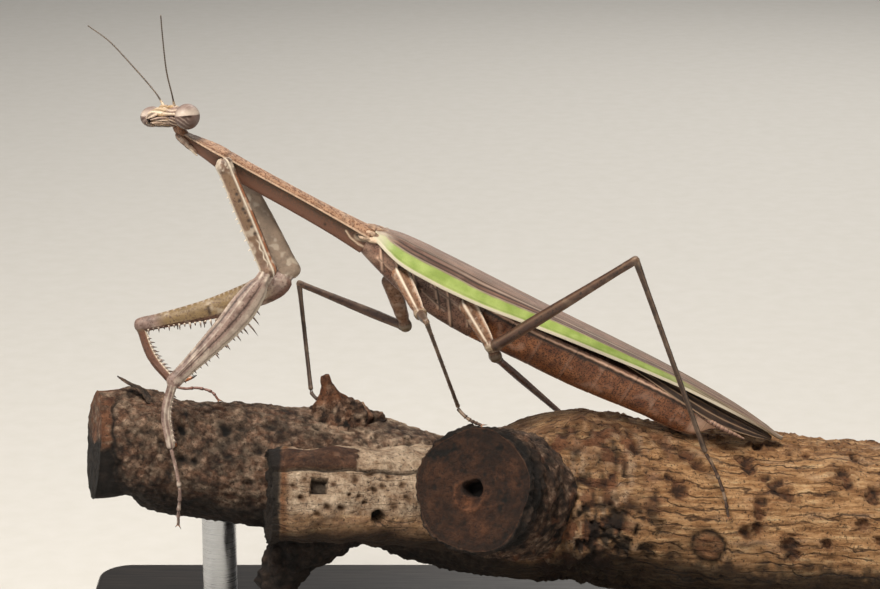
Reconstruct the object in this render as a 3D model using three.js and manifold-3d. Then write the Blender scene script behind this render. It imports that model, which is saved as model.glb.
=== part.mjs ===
// Praying mantis of the genus Tenodera, adult and life-size, standing on a short cut branch that a plain
// stand holds up. Millimetres, +Z up; the insect faces -X and its left side faces -Y. The origin is the
// middle of the underside of the stand's base.
import * as THREE from "three";
import Module from "manifold-3d";
import { mergeVertices } from "three/addons/utils/BufferGeometryUtils.js";

const wasm = await Module();
wasm.setup();
const { Manifold, Mesh: Shell } = wasm;

const V = (x, y, z) => new THREE.Vector3(x, y, z);
const mix = THREE.MathUtils.lerp;

// ------------------------------------------------------------ dimensions

const GAP = 0.06; // half the seam left between two plates that meet
const FINEST = 0.01; // the smallest feature that a cut may leave
const SPINE = 0.27; // the radius of a spine at its foot

// The body slopes down to the tail from its wing hinges. s runs from the hinges to the tail, y to the
// insect's right, v out of its back. A row [s, value] gives a half width, or a height v, at that place.
const PITCH = THREE.MathUtils.degToRad(28.5);
const HINGE = V(-16.4, -4, 64.8);

// The long shield: a roof with a raised edge line over a narrower keeled underside, wider at the fore coxae.
const SHIELD = {
  from: -29.2,
  to: -0.7,
  width: [[-29.2, 0.95], [-27.5, 1.5], [-24.4, 2.3], [-21.5, 1.75], [-14, 1.45], [-5, 1.75], [-0.7, 2.05]],
  top: [[-29.2, 1.3], [-24, 1.8], [-20, 1.65], [-9, 1.5], [-0.7, 1.7]],
  edge: [[-29.2, 0.95], [-24, 1.05], [-18, 0.85], [-8, 0.65], [-0.7, 0.45]],
  keel: [[-29.2, -0.35], [-25.5, -0.7], [-21, -1.35], [-13, -1.55], [-6, -1.8], [-0.7, -2.2]],
};

// The chest bears the wings and the two hind pairs of legs; the belly hangs behind it.
const CHEST = {
  from: -0.5,
  to: 17.9,
  width: [[-0.5, 1.7], [3, 2.6], [8, 3.1], [13, 3.1], [18, 3.2]],
  roof: [[-0.5, 1.0], [4, 1.3], [10, 1.4], [18, 1.3]],
  keel: [[-0.5, -2.2], [4, -3.7], [8, -4.7], [13, -5.4], [18, -5.6]],
};
const BELLY = {
  from: 18.05,
  to: 54.6,
  width: [[18, 3.2], [24, 3.8], [33, 4.05], [42, 3.8], [48, 3.1], [52.5, 2.1], [54.6, 1.2]],
  roof: [[18, 1.3], [33, 1.5], [45, 1.6], [52, 1.4], [54.6, 1.0]],
  ridge: [[18, 0.0], [25, 0.2], [35, 0.85], [46, 1.1], [54.6, 0.6]],
  keel: [[18, -5.6], [25, -5.2], [34, -4.9], [44, -4.0], [52, -3.4], [54.6, -1.2]],
};
const CERCUS = { path: [[52.0, 2.3, 0.1], [54.6, 2.9, 0.1], [58.6, 2.8, 0.2]], thick: 0.42, tip: 0.26 };

// The closed wings seen from above: half their outline, the height of the ridge line over the body, and how
// far the outer edge hangs below that ridge. The left one laps over the right one.
const WING = {
  root: -0.2,
  tip: 64,
  thick: 0.5,
  lap: 1.9,
  half: [
    [-0.2, 1.9], [3, 3.6], [8, 4.6], [18, 4.9], [30, 4.75], [40, 4.2], [50, 3.3], [58, 2.2], [62.5, 1.0],
    [64, 0.3],
  ],
  ridge: [
    [-0.2, 1.9], [4, 2.7], [12, 2.95], [25, 3.1], [36, 3.35], [47, 3.45], [55, 3.25], [60, 2.8], [64, 2.1],
  ],
  drop: [
    [-0.2, 1.2], [4, 3.0], [8, 3.4], [16, 3.2], [26, 2.2], [36, 1.5], [46, 0.9], [56, 0.6], [64, 0.1],
  ],
};
// The hind wings fold under them; their dark outer edge shows below the fore wing's edge near the tail.
const HIND_WING = {
  root: 3,
  tip: 62.6,
  under: 0.62,
  thick: 0.5,
  gap: 0.06,
  half: [[3, 2.0], [12, 2.6], [30, 3.0], [42, 3.5], [48, 3.5], [54, 2.8], [60, 1.6], [62.6, 0.5]],
  sag: [[3, 0.1], [30, 0.1], [40, 0.5], [48, 1.0], [56, 1.1], [62.6, 0.5]],
};

// The head is turned to the insect's left and tipped back, so that the face looks up. w runs to its left eye,
// m to the mouth and n out of the face. A row [m, value] gives half the width, or n on the face and the nape.
const HEAD = V(-43.9, -4.6, 82.05);
const TO_LEFT_EYE = V(0.8, -0.58, 0.12);
const TO_MOUTH = V(-0.6, -0.8, 0.08);
const CAPSULE = {
  from: -1.9,
  to: 2.6,
  power: 2.3,
  width: [[-1.9, 1.7], [-1.2, 2.7], [-0.2, 3.0], [0.9, 2.45], [1.9, 1.75], [2.6, 1.35]],
  face: [[-1.9, 0.7], [-0.9, 1.15], [0.4, 1.25], [1.6, 1.15], [2.6, 0.95]],
  nape: [[-1.9, -0.65], [-0.9, -1.2], [0.4, -1.3], [1.6, -1.0], [2.6, -0.6]],
};
const EYE = { out: 3.17, along: -0.35, lift: 0.05, w: 1.45, m: 2.0, n: 1.78, seam: 0.07 };
const LIP = { from: 2.6, to: 4.3, width: [1.25, 0.45], depth: [0.9, 0.4], lift: [0.2, 0.15], power: 2.4 };
const PALP = [[1.15, 1.2, -1.15], [1.4, 2.4, -1.0], [0.95, 3.5, -0.75], [0.4, 4.4, -0.45]];
const FEELER_ROOT = [0.95, -0.35, 1.1];
const FEELERS = {
  left: [V(-43.2, -5.3, 85.2), V(-43.8, -5.9, 88.4), V(-44.1, -7.0, 92.9), V(-44.2, -8.2, 96.6)],
  right: [V(-45.6, -2.6, 84.9), V(-49.4, 0.0, 88.7), V(-52.4, 1.6, 91.5), V(-55.3, 3.0, 93.3)],
};
const NECK = { top: V(-42.6, -4.1, 80.4), foot: 0.35, across: [0.75, 0.95], up: [0.8, 1.0], socket: 0.95 };

// The pose of each leg, joint by joint: the coxa's hinge on the body, the coxa's end, an optional bend in the
// trochanter, the knee, a bow in the tibia, the ankle, the way and length of the fore tibia's hook, the foot.
const LEGS = {
  fore_left: {
    root: V(-36.3, -6.1, 75.8),
    end: V(-30.3, -8.1, 61.4),
    knee: V(-43.2, -14.0, 47.4),
    bow: V(-44.2, -14.9, 43.2),
    ankle: V(-43.6, -15.5, 38.8),
    hook: V(0.3, 0.9, -0.3),
    claw: 2.4,
    foot: [
      V(-43.5, -15.7, 38.2), V(-42.8, -16.4, 35.4), V(-42.4, -16.7, 32.4), V(-42.7, -16.0, 29.6),
      V(-42.9, -14.9, 27.3),
    ],
  },
  fore_right: {
    root: V(-35.3, -1.9, 74.8),
    end: V(-27.2, -0.5, 59.4),
    bend: V(-29.6, -0.3, 57.6),
    knee: V(-49.0, 0.2, 51.4),
    bow: V(-47.3, -1.0, 47.2),
    ankle: V(-44.3, -2.6, 43.9),
    hook: V(1, 0, 0.2),
    claw: 3.6,
    foot: [
      V(-44.0, -2.7, 43.3), V(-42.6, -2.6, 43.0), V(-41.0, -2.6, 43.1), V(-38.9, -2.9, 42.6),
      V(-38.0, -3.3, 41.6),
    ],
  },
  mid_left: {
    root: V(-12.4, -6.6, 60.6),
    end: V(-9.6, -9.5, 55.6),
    knee: V(-8.8, -24.5, 58.8),
    ankle: V(-4.6, -16.2, 44.7),
    foot: [V(-4.5, -16.3, 44.2), V(-3.7, -16.9, 43.5), V(-2.7, -17.4, 42.9), V(-1.5, -18.2, 42.6)],
  },
  mid_right: {
    root: V(-13.8, -1.2, 58.2),
    end: V(-11.8, 1.2, 50.9),
    knee: V(-27.1, 9.2, 55.1),
    ankle: V(-25.3, 2.2, 41.6),
    foot: [V(-25.2, 1.9, 41.0), V(-24.6, 1.5, 40.4), V(-23.6, 1.2, 40.0), V(-22.2, 1.0, 39.7)],
  },
  hind_left: {
    root: V(-3.2, -7.2, 56.4),
    end: V(0.1, -9.0, 50.8),
    knee: V(19.0, -18.0, 65.5),
    ankle: V(29.3, -12.0, 37.0),
    foot: [
      V(29.6, -12.2, 36.4), V(30.5, -12.7, 34.9), V(31.5, -13.3, 32.6), V(32.2, -13.8, 30.3),
      V(32.6, -14.1, 28.2),
    ],
  },
  hind_right: {
    root: V(-2.4, -0.6, 54.4),
    end: V(0.9, 1.2, 46.4),
    knee: V(11.9, 18.0, 32.0),
    ankle: V(38.6, 11.0, 29.0),
    foot: [V(39.2, 10.7, 28.8), V(41.4, 10.0, 28.4), V(44.2, 9.4, 28.2), V(46.8, 9.2, 28.2)],
  },
};
// Half widths [at the start, at the end] of the limb segments, across and towards the back.
const FORE_COXA = { across: [0.8, 0.95], back: [1.15, 1.05], swell: 0.12 };
const REAR_COXA = { across: [1.15, 0.75], back: [1.35, 0.8] };
const ROD = { femur: [0.55, 0.42], hind_femur: [0.72, 0.5], tibia: [0.38, 0.3], hind_tibia: [0.42, 0.32] };
// The fore femur is a deep blade: its half depth along its length, its sag and its half thickness.
const BLADE = [[0, 0.85], [0.08, 0.95], [0.2, 1.45], [0.38, 1.75], [0.6, 1.5], [0.85, 1.05], [1, 0.85]];
const BELLY_AT = 0.42;
const BELLY_SAG = 0.7;
const bladeThickness = (depth) => 0.55 * depth + 0.2;
const FORE_TIBIA = { across: 0.55, back: [0.62, 0.72] };
const HOOK = [0.42, 0.25];
// Spines as [place along the segment, length, lean to its end, way out of its middle plane].
const COXA_TEETH = [[0.16, 0.55], [0.33, 0.55], [0.5, 0.55], [0.67, 0.55], [0.84, 0.55]];
const LONG_SPINES = [[0.3, 1.5, 0.25], [0.36, 2.2, 0.2, 0.25], [0.42, 1.7, 0.15, -0.25]];
const SHORT_SPINES = { from: 0.49, to: 0.93, count: 6, length: 0.8, lean: 0.1, out: 0.3 };
const TIBIA_SPINES = { from: 0.32, to: 0.85, count: 5, length: 0.62, lean: 0.7 };
const FOOT = { joint: 0.36, waist: 0.27, claw: 0.7 };

// The main stem of the perch: x, y, z of its middle line and its radius.
const STEM = [
  [-54.8, -9.7, 37.2, 7.5], [-48.6, -8.3, 36.5, 7.7], [-44.2, -7.2, 34.8, 8.0], [-33.7, -5.6, 32.9, 8.4],
  [-21.0, -4.4, 31.2, 8.7], [-12.0, -3.8, 28.8, 8.9], [-5.0, -3.0, 26.2, 9.4], [3.0, -2.4, 26.2, 10.8],
  [12.7, -1.8, 26.9, 12.1], [29.7, -1.5, 24.2, 11.8], [44.0, -1.5, 23.1, 11.6], [57.0, -1.5, 22.3, 11.5],
];
// Its side branches: the places of the middle line and the radius at three fractions of it.
const BROKEN_STEM = {
  path: [V(-30.4, -17.5, 32.3), V(-20, -15.6, 31.8), V(-10, -12, 30.2), V(0, -6, 28.5)],
  radius: [[0, 6.3], [0.5, 6.6], [1, 8]],
};
const STUB = {
  path: [V(-2.6, -22, 34.7), V(0.4, -16, 32.3), V(5, -6, 28)],
  radius: [[0, 8.0], [0.5, 8.2], [1, 9]],
};
const SNAG = {
  path: [V(-20, -12.5, 28), V(-27, -14, 22.5), V(-30.5, -15, 17.5)],
  radius: [[0, 4.6], [0.5, 3.8], [1, 2.6]],
};
// The curl of bark on top: its foot and tip, its half widths across and along the branch, and its profile.
const CURL = {
  foot: V(-21.4, -4.6, 37.2),
  tip: V(-22.9, -4.6, 45.9),
  along: 6.2,
  across: 3.6,
  profile: [[0, 1], [0.35, 0.68], [0.55, 0.4], [0.7, 0.2], [1, 0.1]],
};

// The stand: a flat base and two rods; z is how high each rod reaches into the wood.
const BASE = { x: 118, y: 60, z: 5, corner: 5, bevel: 0.8 };
const STAND_ROD = 2.4;
const ROD_SPOTS = [V(-38, -6.2, 27.5), V(33, -1.5, 14.5)];

const BROWN = 0x7a5038;
const TAN = 0xb3937a;
const PALE = 0xcbb3a6;
const DARK = 0x3a2a1e;
const GREEN = 0xb2c070;
const BARK = 0x8a6a50;
const BLACK = 0x2b2b2b;
const STEEL = 0x8c8c8c;
const EYE_BROWN = 0xa08a80;

// ------------------------------------------------------------ surfaces

// A closed solid from vertices and triangles, turned to face outwards.
function closed(points, faces) {
  const make = (list) =>
    new Manifold(
      new Shell({
        numProp: 3,
        vertProperties: Float32Array.from(points.flatMap((p) => [p.x, p.y, p.z])),
        triVerts: Uint32Array.from(list.flat()),
      }),
    );
  const body = make(faces);
  return body.volume() > 0 ? body : make(faces.map(([a, b, c]) => [a, c, b]));
}

// A three.js geometry as a closed solid.
function solidOf(geometry) {
  geometry.deleteAttribute("normal");
  geometry.deleteAttribute("uv");
  const merged = mergeVertices(geometry.index ? geometry.toNonIndexed() : geometry, 1e-4);
  const place = merged.attributes.position;
  const points = Array.from({ length: place.count }, (_, i) => V(0, 0, 0).fromBufferAttribute(place, i));
  const corners = [...merged.index.array];
  const faces = Array.from({ length: corners.length / 3 }, (_, i) => corners.slice(3 * i, 3 * i + 3));
  return closed(points, faces.filter(([a, b, c]) => a !== b && b !== c && a !== c));
}

// A row of rings with the same number of points, joined in turn and fanned shut at both ends.
function loft(rings) {
  const n = rings[0].length;
  const middle = (ring) => ring.reduce((sum, p) => sum.add(p), V(0, 0, 0)).divideScalar(n);
  const points = [...rings.flat(), middle(rings[0]), middle(rings.at(-1))];
  const faces = [];
  for (let i = 0; i < n; i++) {
    const j = (i + 1) % n;
    for (let k = 0; k + 1 < rings.length; k++) {
      const [a, b, c, d] = [k * n + i, k * n + j, (k + 1) * n + i, (k + 1) * n + j];
      faces.push([a, b, c], [b, d, c]);
    }
    faces.push([rings.length * n, j, i]);
    faces.push([rings.length * n + 1, (rings.length - 1) * n + i, (rings.length - 1) * n + j]);
  }
  return closed(points, faces);
}

// A smooth value at x through the stations [place, value]: cubics whose slopes come from the neighbours.
function along(stations, x) {
  const place = (i) => stations[Math.min(Math.max(i, 0), stations.length - 1)];
  if (x <= place(0)[0]) return place(0)[1];
  if (x >= place(stations.length)[0]) return place(stations.length)[1];
  const slope = (i) => (place(i + 1)[1] - place(i - 1)[1]) / (place(i + 1)[0] - place(i - 1)[0]);
  const i = stations.findIndex(([edge]) => edge > x) - 1;
  const h = place(i + 1)[0] - place(i)[0];
  const t = (x - place(i)[0]) / h;
  return (
    (2 * t ** 3 - 3 * t ** 2 + 1) * place(i)[1] + (t ** 3 - 2 * t ** 2 + t) * h * slope(i) +
    (3 * t ** 2 - 2 * t ** 3) * place(i + 1)[1] + (t ** 3 - t ** 2) * h * slope(i + 1)
  );
}

// Evenly spaced numbers from a to b.
const steps = (a, b, count) => Array.from({ length: count + 1 }, (_, i) => mix(a, b, i / count));

// An oval ring; power above 2 squares it off.
function oval(centre, across, up, a, b, sides, power = 2) {
  const bent = (x) => Math.sign(x) * Math.abs(x) ** (2 / power);
  return Array.from({ length: sides }, (_, i) => {
    const angle = (2 * Math.PI * (i + 0.5)) / sides;
    return centre
      .clone()
      .addScaledVector(across, a * bent(Math.cos(angle)))
      .addScaledVector(up, b * bent(Math.sin(angle)));
  });
}

// A limb or feeler swept along a curve through the places. size(t) gives its half width across and its half
// height along the back direction; both ends are rounded off past the last place.
function limb(places, size, { back = V(0, 0, 1), sides = 8, count = 8, round = 0.8, grow = 0 } = {}) {
  const curve = new THREE.CatmullRomCurve3(places, false, "centripetal");
  const ring = (t, shift, scale) => {
    const tangent = curve.getTangent(t);
    const across = V(0, 0, 0).crossVectors(back, tangent).normalize();
    const up = V(0, 0, 0).crossVectors(tangent, across);
    const [a, b] = size(t).map((half) => half + grow);
    const centre = curve.getPoint(t).addScaledVector(tangent, shift * Math.max(a, b));
    return oval(centre, across, up, a * scale, b * scale, sides);
  };
  const middle = steps(0, 1, count).map((t) => ring(t, 0, 1));
  return loft([ring(0, -0.8 * round, 0.6), ...middle, ring(1, 0.8 * round, 0.6)]);
}

// A pointed spine that stands in the skin at a place.
function spine(place, direction, length, radius = SPINE) {
  const aim = direction.clone().normalize();
  const across = V(0, 0, 0).crossVectors(aim, V(0.3, 1, 0.2)).normalize();
  const up = V(0, 0, 0).crossVectors(aim, across);
  const foot = place.clone().addScaledVector(aim, -radius);
  const tip = place.clone().addScaledVector(aim, length);
  const ring = [0, 1, 2].map((i) => {
    const angle = (i * 2 * Math.PI) / 3;
    const side = foot.clone().addScaledVector(across, radius * Math.cos(angle));
    return side.addScaledVector(up, radius * Math.sin(angle));
  });
  return closed([...ring, tip], [[0, 2, 1], [0, 1, 3], [1, 2, 3], [2, 0, 3]]);
}

// Keeps the side of a plane that the normal points to, less the seam.
function keep(solid, place, normal) {
  const n = normal.clone().normalize();
  return solid.trimByPlane([n.x, n.y, n.z], n.dot(place) + GAP);
}

const unit = (a, b) => b.clone().sub(a).normalize();
// The normal at a joint that halves the angle between the way in from a and the way out to b.
const hinge = (a, joint, b) => unit(joint, b).sub(unit(joint, a));
const joined = (solids) => solids.reduce((sum, solid) => sum.add(solid));
const biggest = (solid) => solid.decompose().sort((a, b) => b.volume() - a.volume())[0];

// ------------------------------------------------------------ the scene graph

const mantis = new THREE.Group();
mantis.name = "praying_mantis";

function add(name, solid, color, roughness = 0.6) {
  const mesh = solid.asOriginal().simplify(FINEST).getMesh();
  let geometry = new THREE.BufferGeometry();
  geometry.setAttribute("position", new THREE.BufferAttribute(new Float32Array(mesh.vertProperties), 3));
  geometry.setIndex(new THREE.BufferAttribute(new Uint32Array(mesh.triVerts), 1));
  geometry = mergeVertices(geometry, 1e-4);
  geometry.computeVertexNormals();
  const material = new THREE.MeshStandardMaterial({ color, roughness, metalness: 0, flatShading: true });
  const node = new THREE.Mesh(geometry, material);
  node.name = name;
  mantis.add(node);
}

// ------------------------------------------------------------ trunk

const AFT = V(Math.cos(PITCH), 0, -Math.sin(PITCH));
const RIGHT = V(0, 1, 0);
const BACK = V(Math.sin(PITCH), 0, Math.cos(PITCH));
const at = (s, y, v) =>
  HINGE.clone().addScaledVector(AFT, s).addScaledVector(RIGHT, y).addScaledVector(BACK, v);

// Body rings from one s to another. section(s) lists [y, v] from the keel up the insect's right flank to the
// ridge; the left flank mirrors it.
function trunk(from, to, count, section) {
  return loft(
    steps(from, to, count).map((s) => {
      const half = section(s);
      const mirror = half.slice(1, -1).reverse().map(([y, v]) => [-y, v]);
      return [...half, ...mirror].map(([y, v]) => at(s, y, v));
    }),
  );
}

const shield = trunk(SHIELD.from, SHIELD.to, 18, (s) => {
  const [w, top, edge, keel] = ["width", "top", "edge", "keel"].map((key) => along(SHIELD[key], s));
  return [
    [0, keel], [0.55 * w, keel + 0.15], [0.78 * w, mix(keel, edge, 0.7)],
    [w, edge - 0.12], [w, edge + 0.12], [0.6 * w, mix(edge, top, 0.72)], [0, top],
  ];
});

const chest = trunk(CHEST.from, CHEST.to, 9, (s) => {
  const [w, roof, keel] = ["width", "roof", "keel"].map((key) => along(CHEST[key], s));
  return [
    [0, keel], [0.5 * w, keel + 0.25], [0.85 * w, mix(keel, roof, 0.3)], [w, mix(keel, roof, 0.62)],
    [0.8 * w, mix(keel, roof, 0.9)], [0, roof],
  ];
});

const belly = trunk(BELLY.from, BELLY.to, 18, (s) => {
  const [w, roof, ridge, keel] = ["width", "roof", "ridge", "keel"].map((key) => along(BELLY[key], s));
  return [
    [0, keel], [0.42 * w, keel + 0.16], [0.74 * w, mix(keel, ridge, 0.24)], [0.92 * w, mix(keel, ridge, 0.6)],
    [w, ridge - 0.1], [0.85 * w, mix(ridge, roof, 0.35)], [0, roof],
  ];
});

const cerci = [-1, 1].map((side) =>
  limb(
    CERCUS.path.map(([s, y, v]) => at(s, side * y, v)),
    (t) => [mix(CERCUS.thick, CERCUS.tip, t), mix(CERCUS.thick, CERCUS.tip, t)],
    { back: BACK, sides: 6, count: 4 },
  ),
);

// ------------------------------------------------------------ wings

// How a folded fore wing bends: nearly flat on the back, then rolled down the flank past the long vein.
function wingHeight(s, y) {
  const x = Math.min(Math.abs(y) / along(WING.half, s), 1);
  return along(WING.ridge, s) - along(WING.drop, s) * (0.25 * x ** 2 + 0.75 * x ** 5);
}

// A thin plate over the body: top(s, q) gives [y, v] for q from the inner edge to the outer one.
function plate(from, to, count, across, thick, top) {
  const ring = (s) => {
    const upper = steps(0, 1, across).map((q) => top(s, q));
    const lower = upper.map(([y, v], i) => {
      const [y0, v0] = upper[Math.max(i - 1, 0)];
      const [y1, v1] = upper[Math.min(i + 1, across)];
      const length = Math.hypot(y1 - y0, v1 - v0) || 1;
      const turn = Math.sign(y1 - y0) || 1;
      return [y + (turn * (v1 - v0) * thick) / length, v - (turn * (y1 - y0) * thick) / length];
    });
    return [...upper, ...lower.reverse()].map(([y, v]) => at(s, y, v));
  };
  return loft(steps(from, to, count).map(ring));
}

const lapAt = (s) => WING.lap * Math.min(1, Math.max(0, (WING.tip - 1 - s) / 12), (s + 0.6) / 4);
const foreWing = (reach) =>
  plate(WING.root, WING.tip, 18, 5, WING.thick, (s, q) => {
    const y = reach(s, q);
    return [y, wingHeight(s, y)];
  });
const hindWing = (side) =>
  plate(HIND_WING.root, HIND_WING.tip, 12, 3, HIND_WING.thick, (s, q) => {
    const y = side * mix(HIND_WING.gap, along(HIND_WING.half, s), q);
    return [y, wingHeight(s, y) - HIND_WING.under - along(HIND_WING.sag, s) * q ** 3];
  });
const wings = {
  forewing_left: foreWing((s, q) => mix(lapAt(s), -along(WING.half, s), q)),
  forewing_right: foreWing((s, q) => mix(lapAt(s) + 2 * GAP, along(WING.half, s) + 2 * GAP, q)),
  hindwing_left: hindWing(-1),
  hindwing_right: hindWing(1),
};

// ------------------------------------------------------------ head

const W = TO_LEFT_EYE.clone().normalize();
const N = V(0, 0, 0).crossVectors(TO_MOUTH, W).normalize();
N.multiplyScalar(Math.sign(N.z));
const M = V(0, 0, 0).crossVectors(W, N).normalize();
M.multiplyScalar(-Math.sign(M.y));
const onHead = (w, m, n) => HEAD.clone().addScaledVector(W, w).addScaledVector(M, m).addScaledVector(N, n);

const neckFoot = at(SHIELD.from - 2 * GAP, 0, NECK.foot);
const neck = keep(
  limb(
    [NECK.top, neckFoot.clone().addScaledVector(AFT, 0.3)],
    (t) => [mix(...NECK.across, t), mix(...NECK.up, t)],
    { sides: 9, count: 2 },
  ),
  neckFoot,
  AFT.clone().negate(),
);
const neckSocket = limb([NECK.top, neckFoot], () => [NECK.socket, NECK.socket], { sides: 9, count: 1 });

const capsule = loft(
  steps(CAPSULE.from, CAPSULE.to, 8).map((m) => {
    const [w, face, nape] = ["width", "face", "nape"].map((key) => along(CAPSULE[key], m));
    return oval(onHead(0, m, (face + nape) / 2), W, N, w, (face - nape) / 2, 14, CAPSULE.power);
  }),
);

// An eye is a ball stretched along w, m and n; grown a little, it cuts its own socket.
function eyeBall(side, grow) {
  const [w, n, m] = [W, N, M].map((way, i) => way.clone().multiplyScalar([EYE.w, EYE.n, EYE.m][i] + grow));
  const centre = onHead(side * EYE.out, EYE.along, EYE.lift);
  const frame = new THREE.Matrix4().makeBasis(w, n, m).setPosition(centre);
  return solidOf(new THREE.SphereGeometry(1, 14, 8).applyMatrix4(frame));
}

// The lip and jaws close the tip of the triangle; the jointed palps are folded behind them.
const lip = loft(
  steps(0, 1, 3).map((t) => {
    const centre = onHead(0, mix(LIP.from, LIP.to, t) + 2 * GAP, mix(...LIP.lift, t));
    return oval(centre, W, N, mix(...LIP.width, t * t), mix(...LIP.depth, t * t), 12, LIP.power);
  }),
);
const palps = [-1, 1].map((side) =>
  limb(
    PALP.map(([w, m, n]) => onHead(side * w, m, n)),
    (t) => [mix(0.3, 0.25, t), mix(0.3, 0.25, t)],
    { back: N, sides: 5, count: 5 },
  ),
);

// The feelers stand on short thick first joints on the face and run up in a slight curve.
const feelers = Object.entries(FEELERS).map(([name, places]) => {
  const [w, m, n] = FEELER_ROOT;
  const root = onHead(name === "left" ? w : -w, m, n);
  const radius = (t) => (t < 0.06 ? 0.36 : mix(0.27, 0.25, t));
  const shape = { back: V(0, 1, 0.2), sides: 5, count: 9 };
  return [`antenna_${name}`, limb([root, ...places], (t) => [radius(t), radius(t)], shape)];
});

// ------------------------------------------------------------ legs

const evenly = (a, b) => (t) => [mix(a, b, t), mix(a, b, t)];

// The outer direction of a joint, away from the side that it folds to.
function backOf(from, joint, to) {
  const axis = unit(from, joint);
  const way = unit(joint, to);
  return way.addScaledVector(axis, -way.dot(axis)).normalize().negate();
}

// A row of spines along one side of a limb segment. reach(t) is how far the skin lies from the axis.
function spineRow(from, to, toward, reach, list) {
  return list.map(([t, length, lean = 0, side = 0]) => {
    const axis = unit(from, to);
    const across = V(0, 0, 0).crossVectors(axis, toward).normalize();
    const place = from.clone().lerp(to, t).addScaledVector(toward, reach(t) - 0.1);
    const aim = toward.clone().addScaledVector(axis, lean).addScaledVector(across, side * 0.3);
    return spine(place.addScaledVector(across, side), aim, length);
  });
}

// The fore pair of coxae is long and three-sided, the others are short cones under the chest.
function makeCoxa(leg, fore) {
  const { across, back } = fore ? FORE_COXA : REAR_COXA;
  const swell = (t) => (fore ? FORE_COXA.swell * Math.sin(Math.PI * t) : 0);
  const size = (t) => [mix(...across, t), mix(...back, t) + swell(t)];
  const shape = { back: AFT, sides: 8, count: fore ? 4 : 2, round: fore ? 0.7 : 0.5 };
  const places = [leg.root, leg.end];
  const front = backOf(leg.root, leg.end, leg.knee).negate();
  const teeth = fore ? spineRow(leg.root, leg.end, front, () => 1.1, COXA_TEETH) : [];
  const cut = hinge(leg.root, leg.end, leg.bend ?? leg.knee).negate();
  return {
    coxa: keep(joined([limb(places, size, shape), ...teeth]), leg.end, cut),
    hollow: limb(places, size, { ...shape, grow: 2 * GAP }),
  };
}

// Trochanter and femur in one; the fore femur is a blade with spines along its lower edge.
function makeFemur(leg, fore, hind) {
  const start = leg.bend ?? leg.end;
  const back = backOf(start, leg.knee, leg.ankle);
  const below = back.clone().negate();
  const path = leg.bend ? [leg.end, leg.bend, leg.knee] : [leg.end, leg.knee];
  const depth = (t) => along(BLADE, t);
  let femur;
  if (fore) {
    path.splice(-1, 0, start.clone().lerp(leg.knee, BELLY_AT).addScaledVector(below, BELLY_SAG));
    const { from, to, count, length, lean, out } = SHORT_SPINES;
    const short = steps(from, to, count).map((t, i) => [t, length, lean, i % 2 ? out : -out]);
    const reach = (t) => depth(t) + 0.3 * Math.sin(Math.PI * t);
    const spines = spineRow(start, leg.knee, below, reach, [...LONG_SPINES, ...short]);
    const blade = limb(path, (t) => [bladeThickness(depth(t)), depth(t)], { back, sides: 9, count: 7 });
    femur = joined([blade, ...spines]);
  } else {
    femur = limb(path, evenly(...(hind ? ROD.hind_femur : ROD.femur)), { back, sides: 7, count: 3 });
  }
  femur = keep(femur, leg.end, hinge(leg.root, leg.end, leg.bend ?? leg.knee));
  return keep(femur, leg.knee, hinge(start, leg.knee, leg.ankle).negate());
}

// The fore tibia has two rows of spines and ends in a long hooked claw; the others end in a spur.
function makeTibia(leg, fore, hind) {
  const start = leg.bend ?? leg.end;
  const back = backOf(start, leg.knee, leg.ankle);
  const axis = unit(leg.knee, leg.ankle);
  let tibia;
  if (fore) {
    const size = (t) => [FORE_TIBIA.across, mix(...FORE_TIBIA.back, Math.sin(Math.PI * t))];
    const inner = backOf(leg.ankle, leg.knee, start).negate();
    const { from, to, count, length, lean } = TIBIA_SPINES;
    const teeth = steps(from, to, count).map((t) => [t, length, lean]);
    const reach = (t) => FORE_TIBIA.back[0] - 0.4 * Math.sin(Math.PI * t);
    const heel = leg.ankle.clone().addScaledVector(axis, -0.4);
    const aim = leg.hook.clone().normalize();
    const bent = (t) =>
      heel.clone().addScaledVector(aim, leg.claw * t).addScaledVector(axis, 0.25 * Math.sin(Math.PI * t));
    tibia = joined([
      limb([leg.knee, leg.bow, leg.ankle], size, { back, sides: 7, count: 4 }),
      ...spineRow(leg.knee, leg.ankle, inner, reach, teeth),
      limb([0, 0.4, 0.75, 1].map(bent), evenly(...HOOK), { back: axis, sides: 5, count: 4 }),
    ]);
  } else {
    const rod = limb([leg.knee, leg.ankle], evenly(...(hind ? ROD.hind_tibia : ROD.tibia)), {
      back,
      sides: 6,
      count: 3,
    });
    const spurFoot = leg.ankle.clone().addScaledVector(axis, -0.4);
    tibia = rod.add(spine(spurFoot, axis.clone().addScaledVector(AFT, -0.8), 0.9));
  }
  tibia = keep(tibia, leg.knee, hinge(start, leg.knee, leg.ankle));
  return keep(tibia, leg.foot[0], hinge(leg.ankle, leg.foot[0], leg.foot[1]).negate());
}

// A foot has five joints with swollen ends and a pair of claws.
function makeTarsus({ ankle, foot }) {
  const radius = (t) => mix(FOOT.joint, FOOT.waist, Math.abs(Math.sin(Math.PI * 3 * t)));
  const joints = limb(foot, (t) => [radius(t), radius(t)], { back: V(0.2, -1, 0.3), sides: 5, count: 6 });
  const last = foot.at(-1);
  const way = unit(foot.at(-2), last);
  const spread = V(0, 0, 0).crossVectors(way, V(0, -0.6, 0.8)).normalize();
  const claws = [-0.7, 0.7].map((s) => spine(last, way.clone().addScaledVector(spread, s), FOOT.claw));
  return keep(joined([joints, ...claws]), foot[0], hinge(ankle, foot[0], foot[1]));
}

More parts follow.
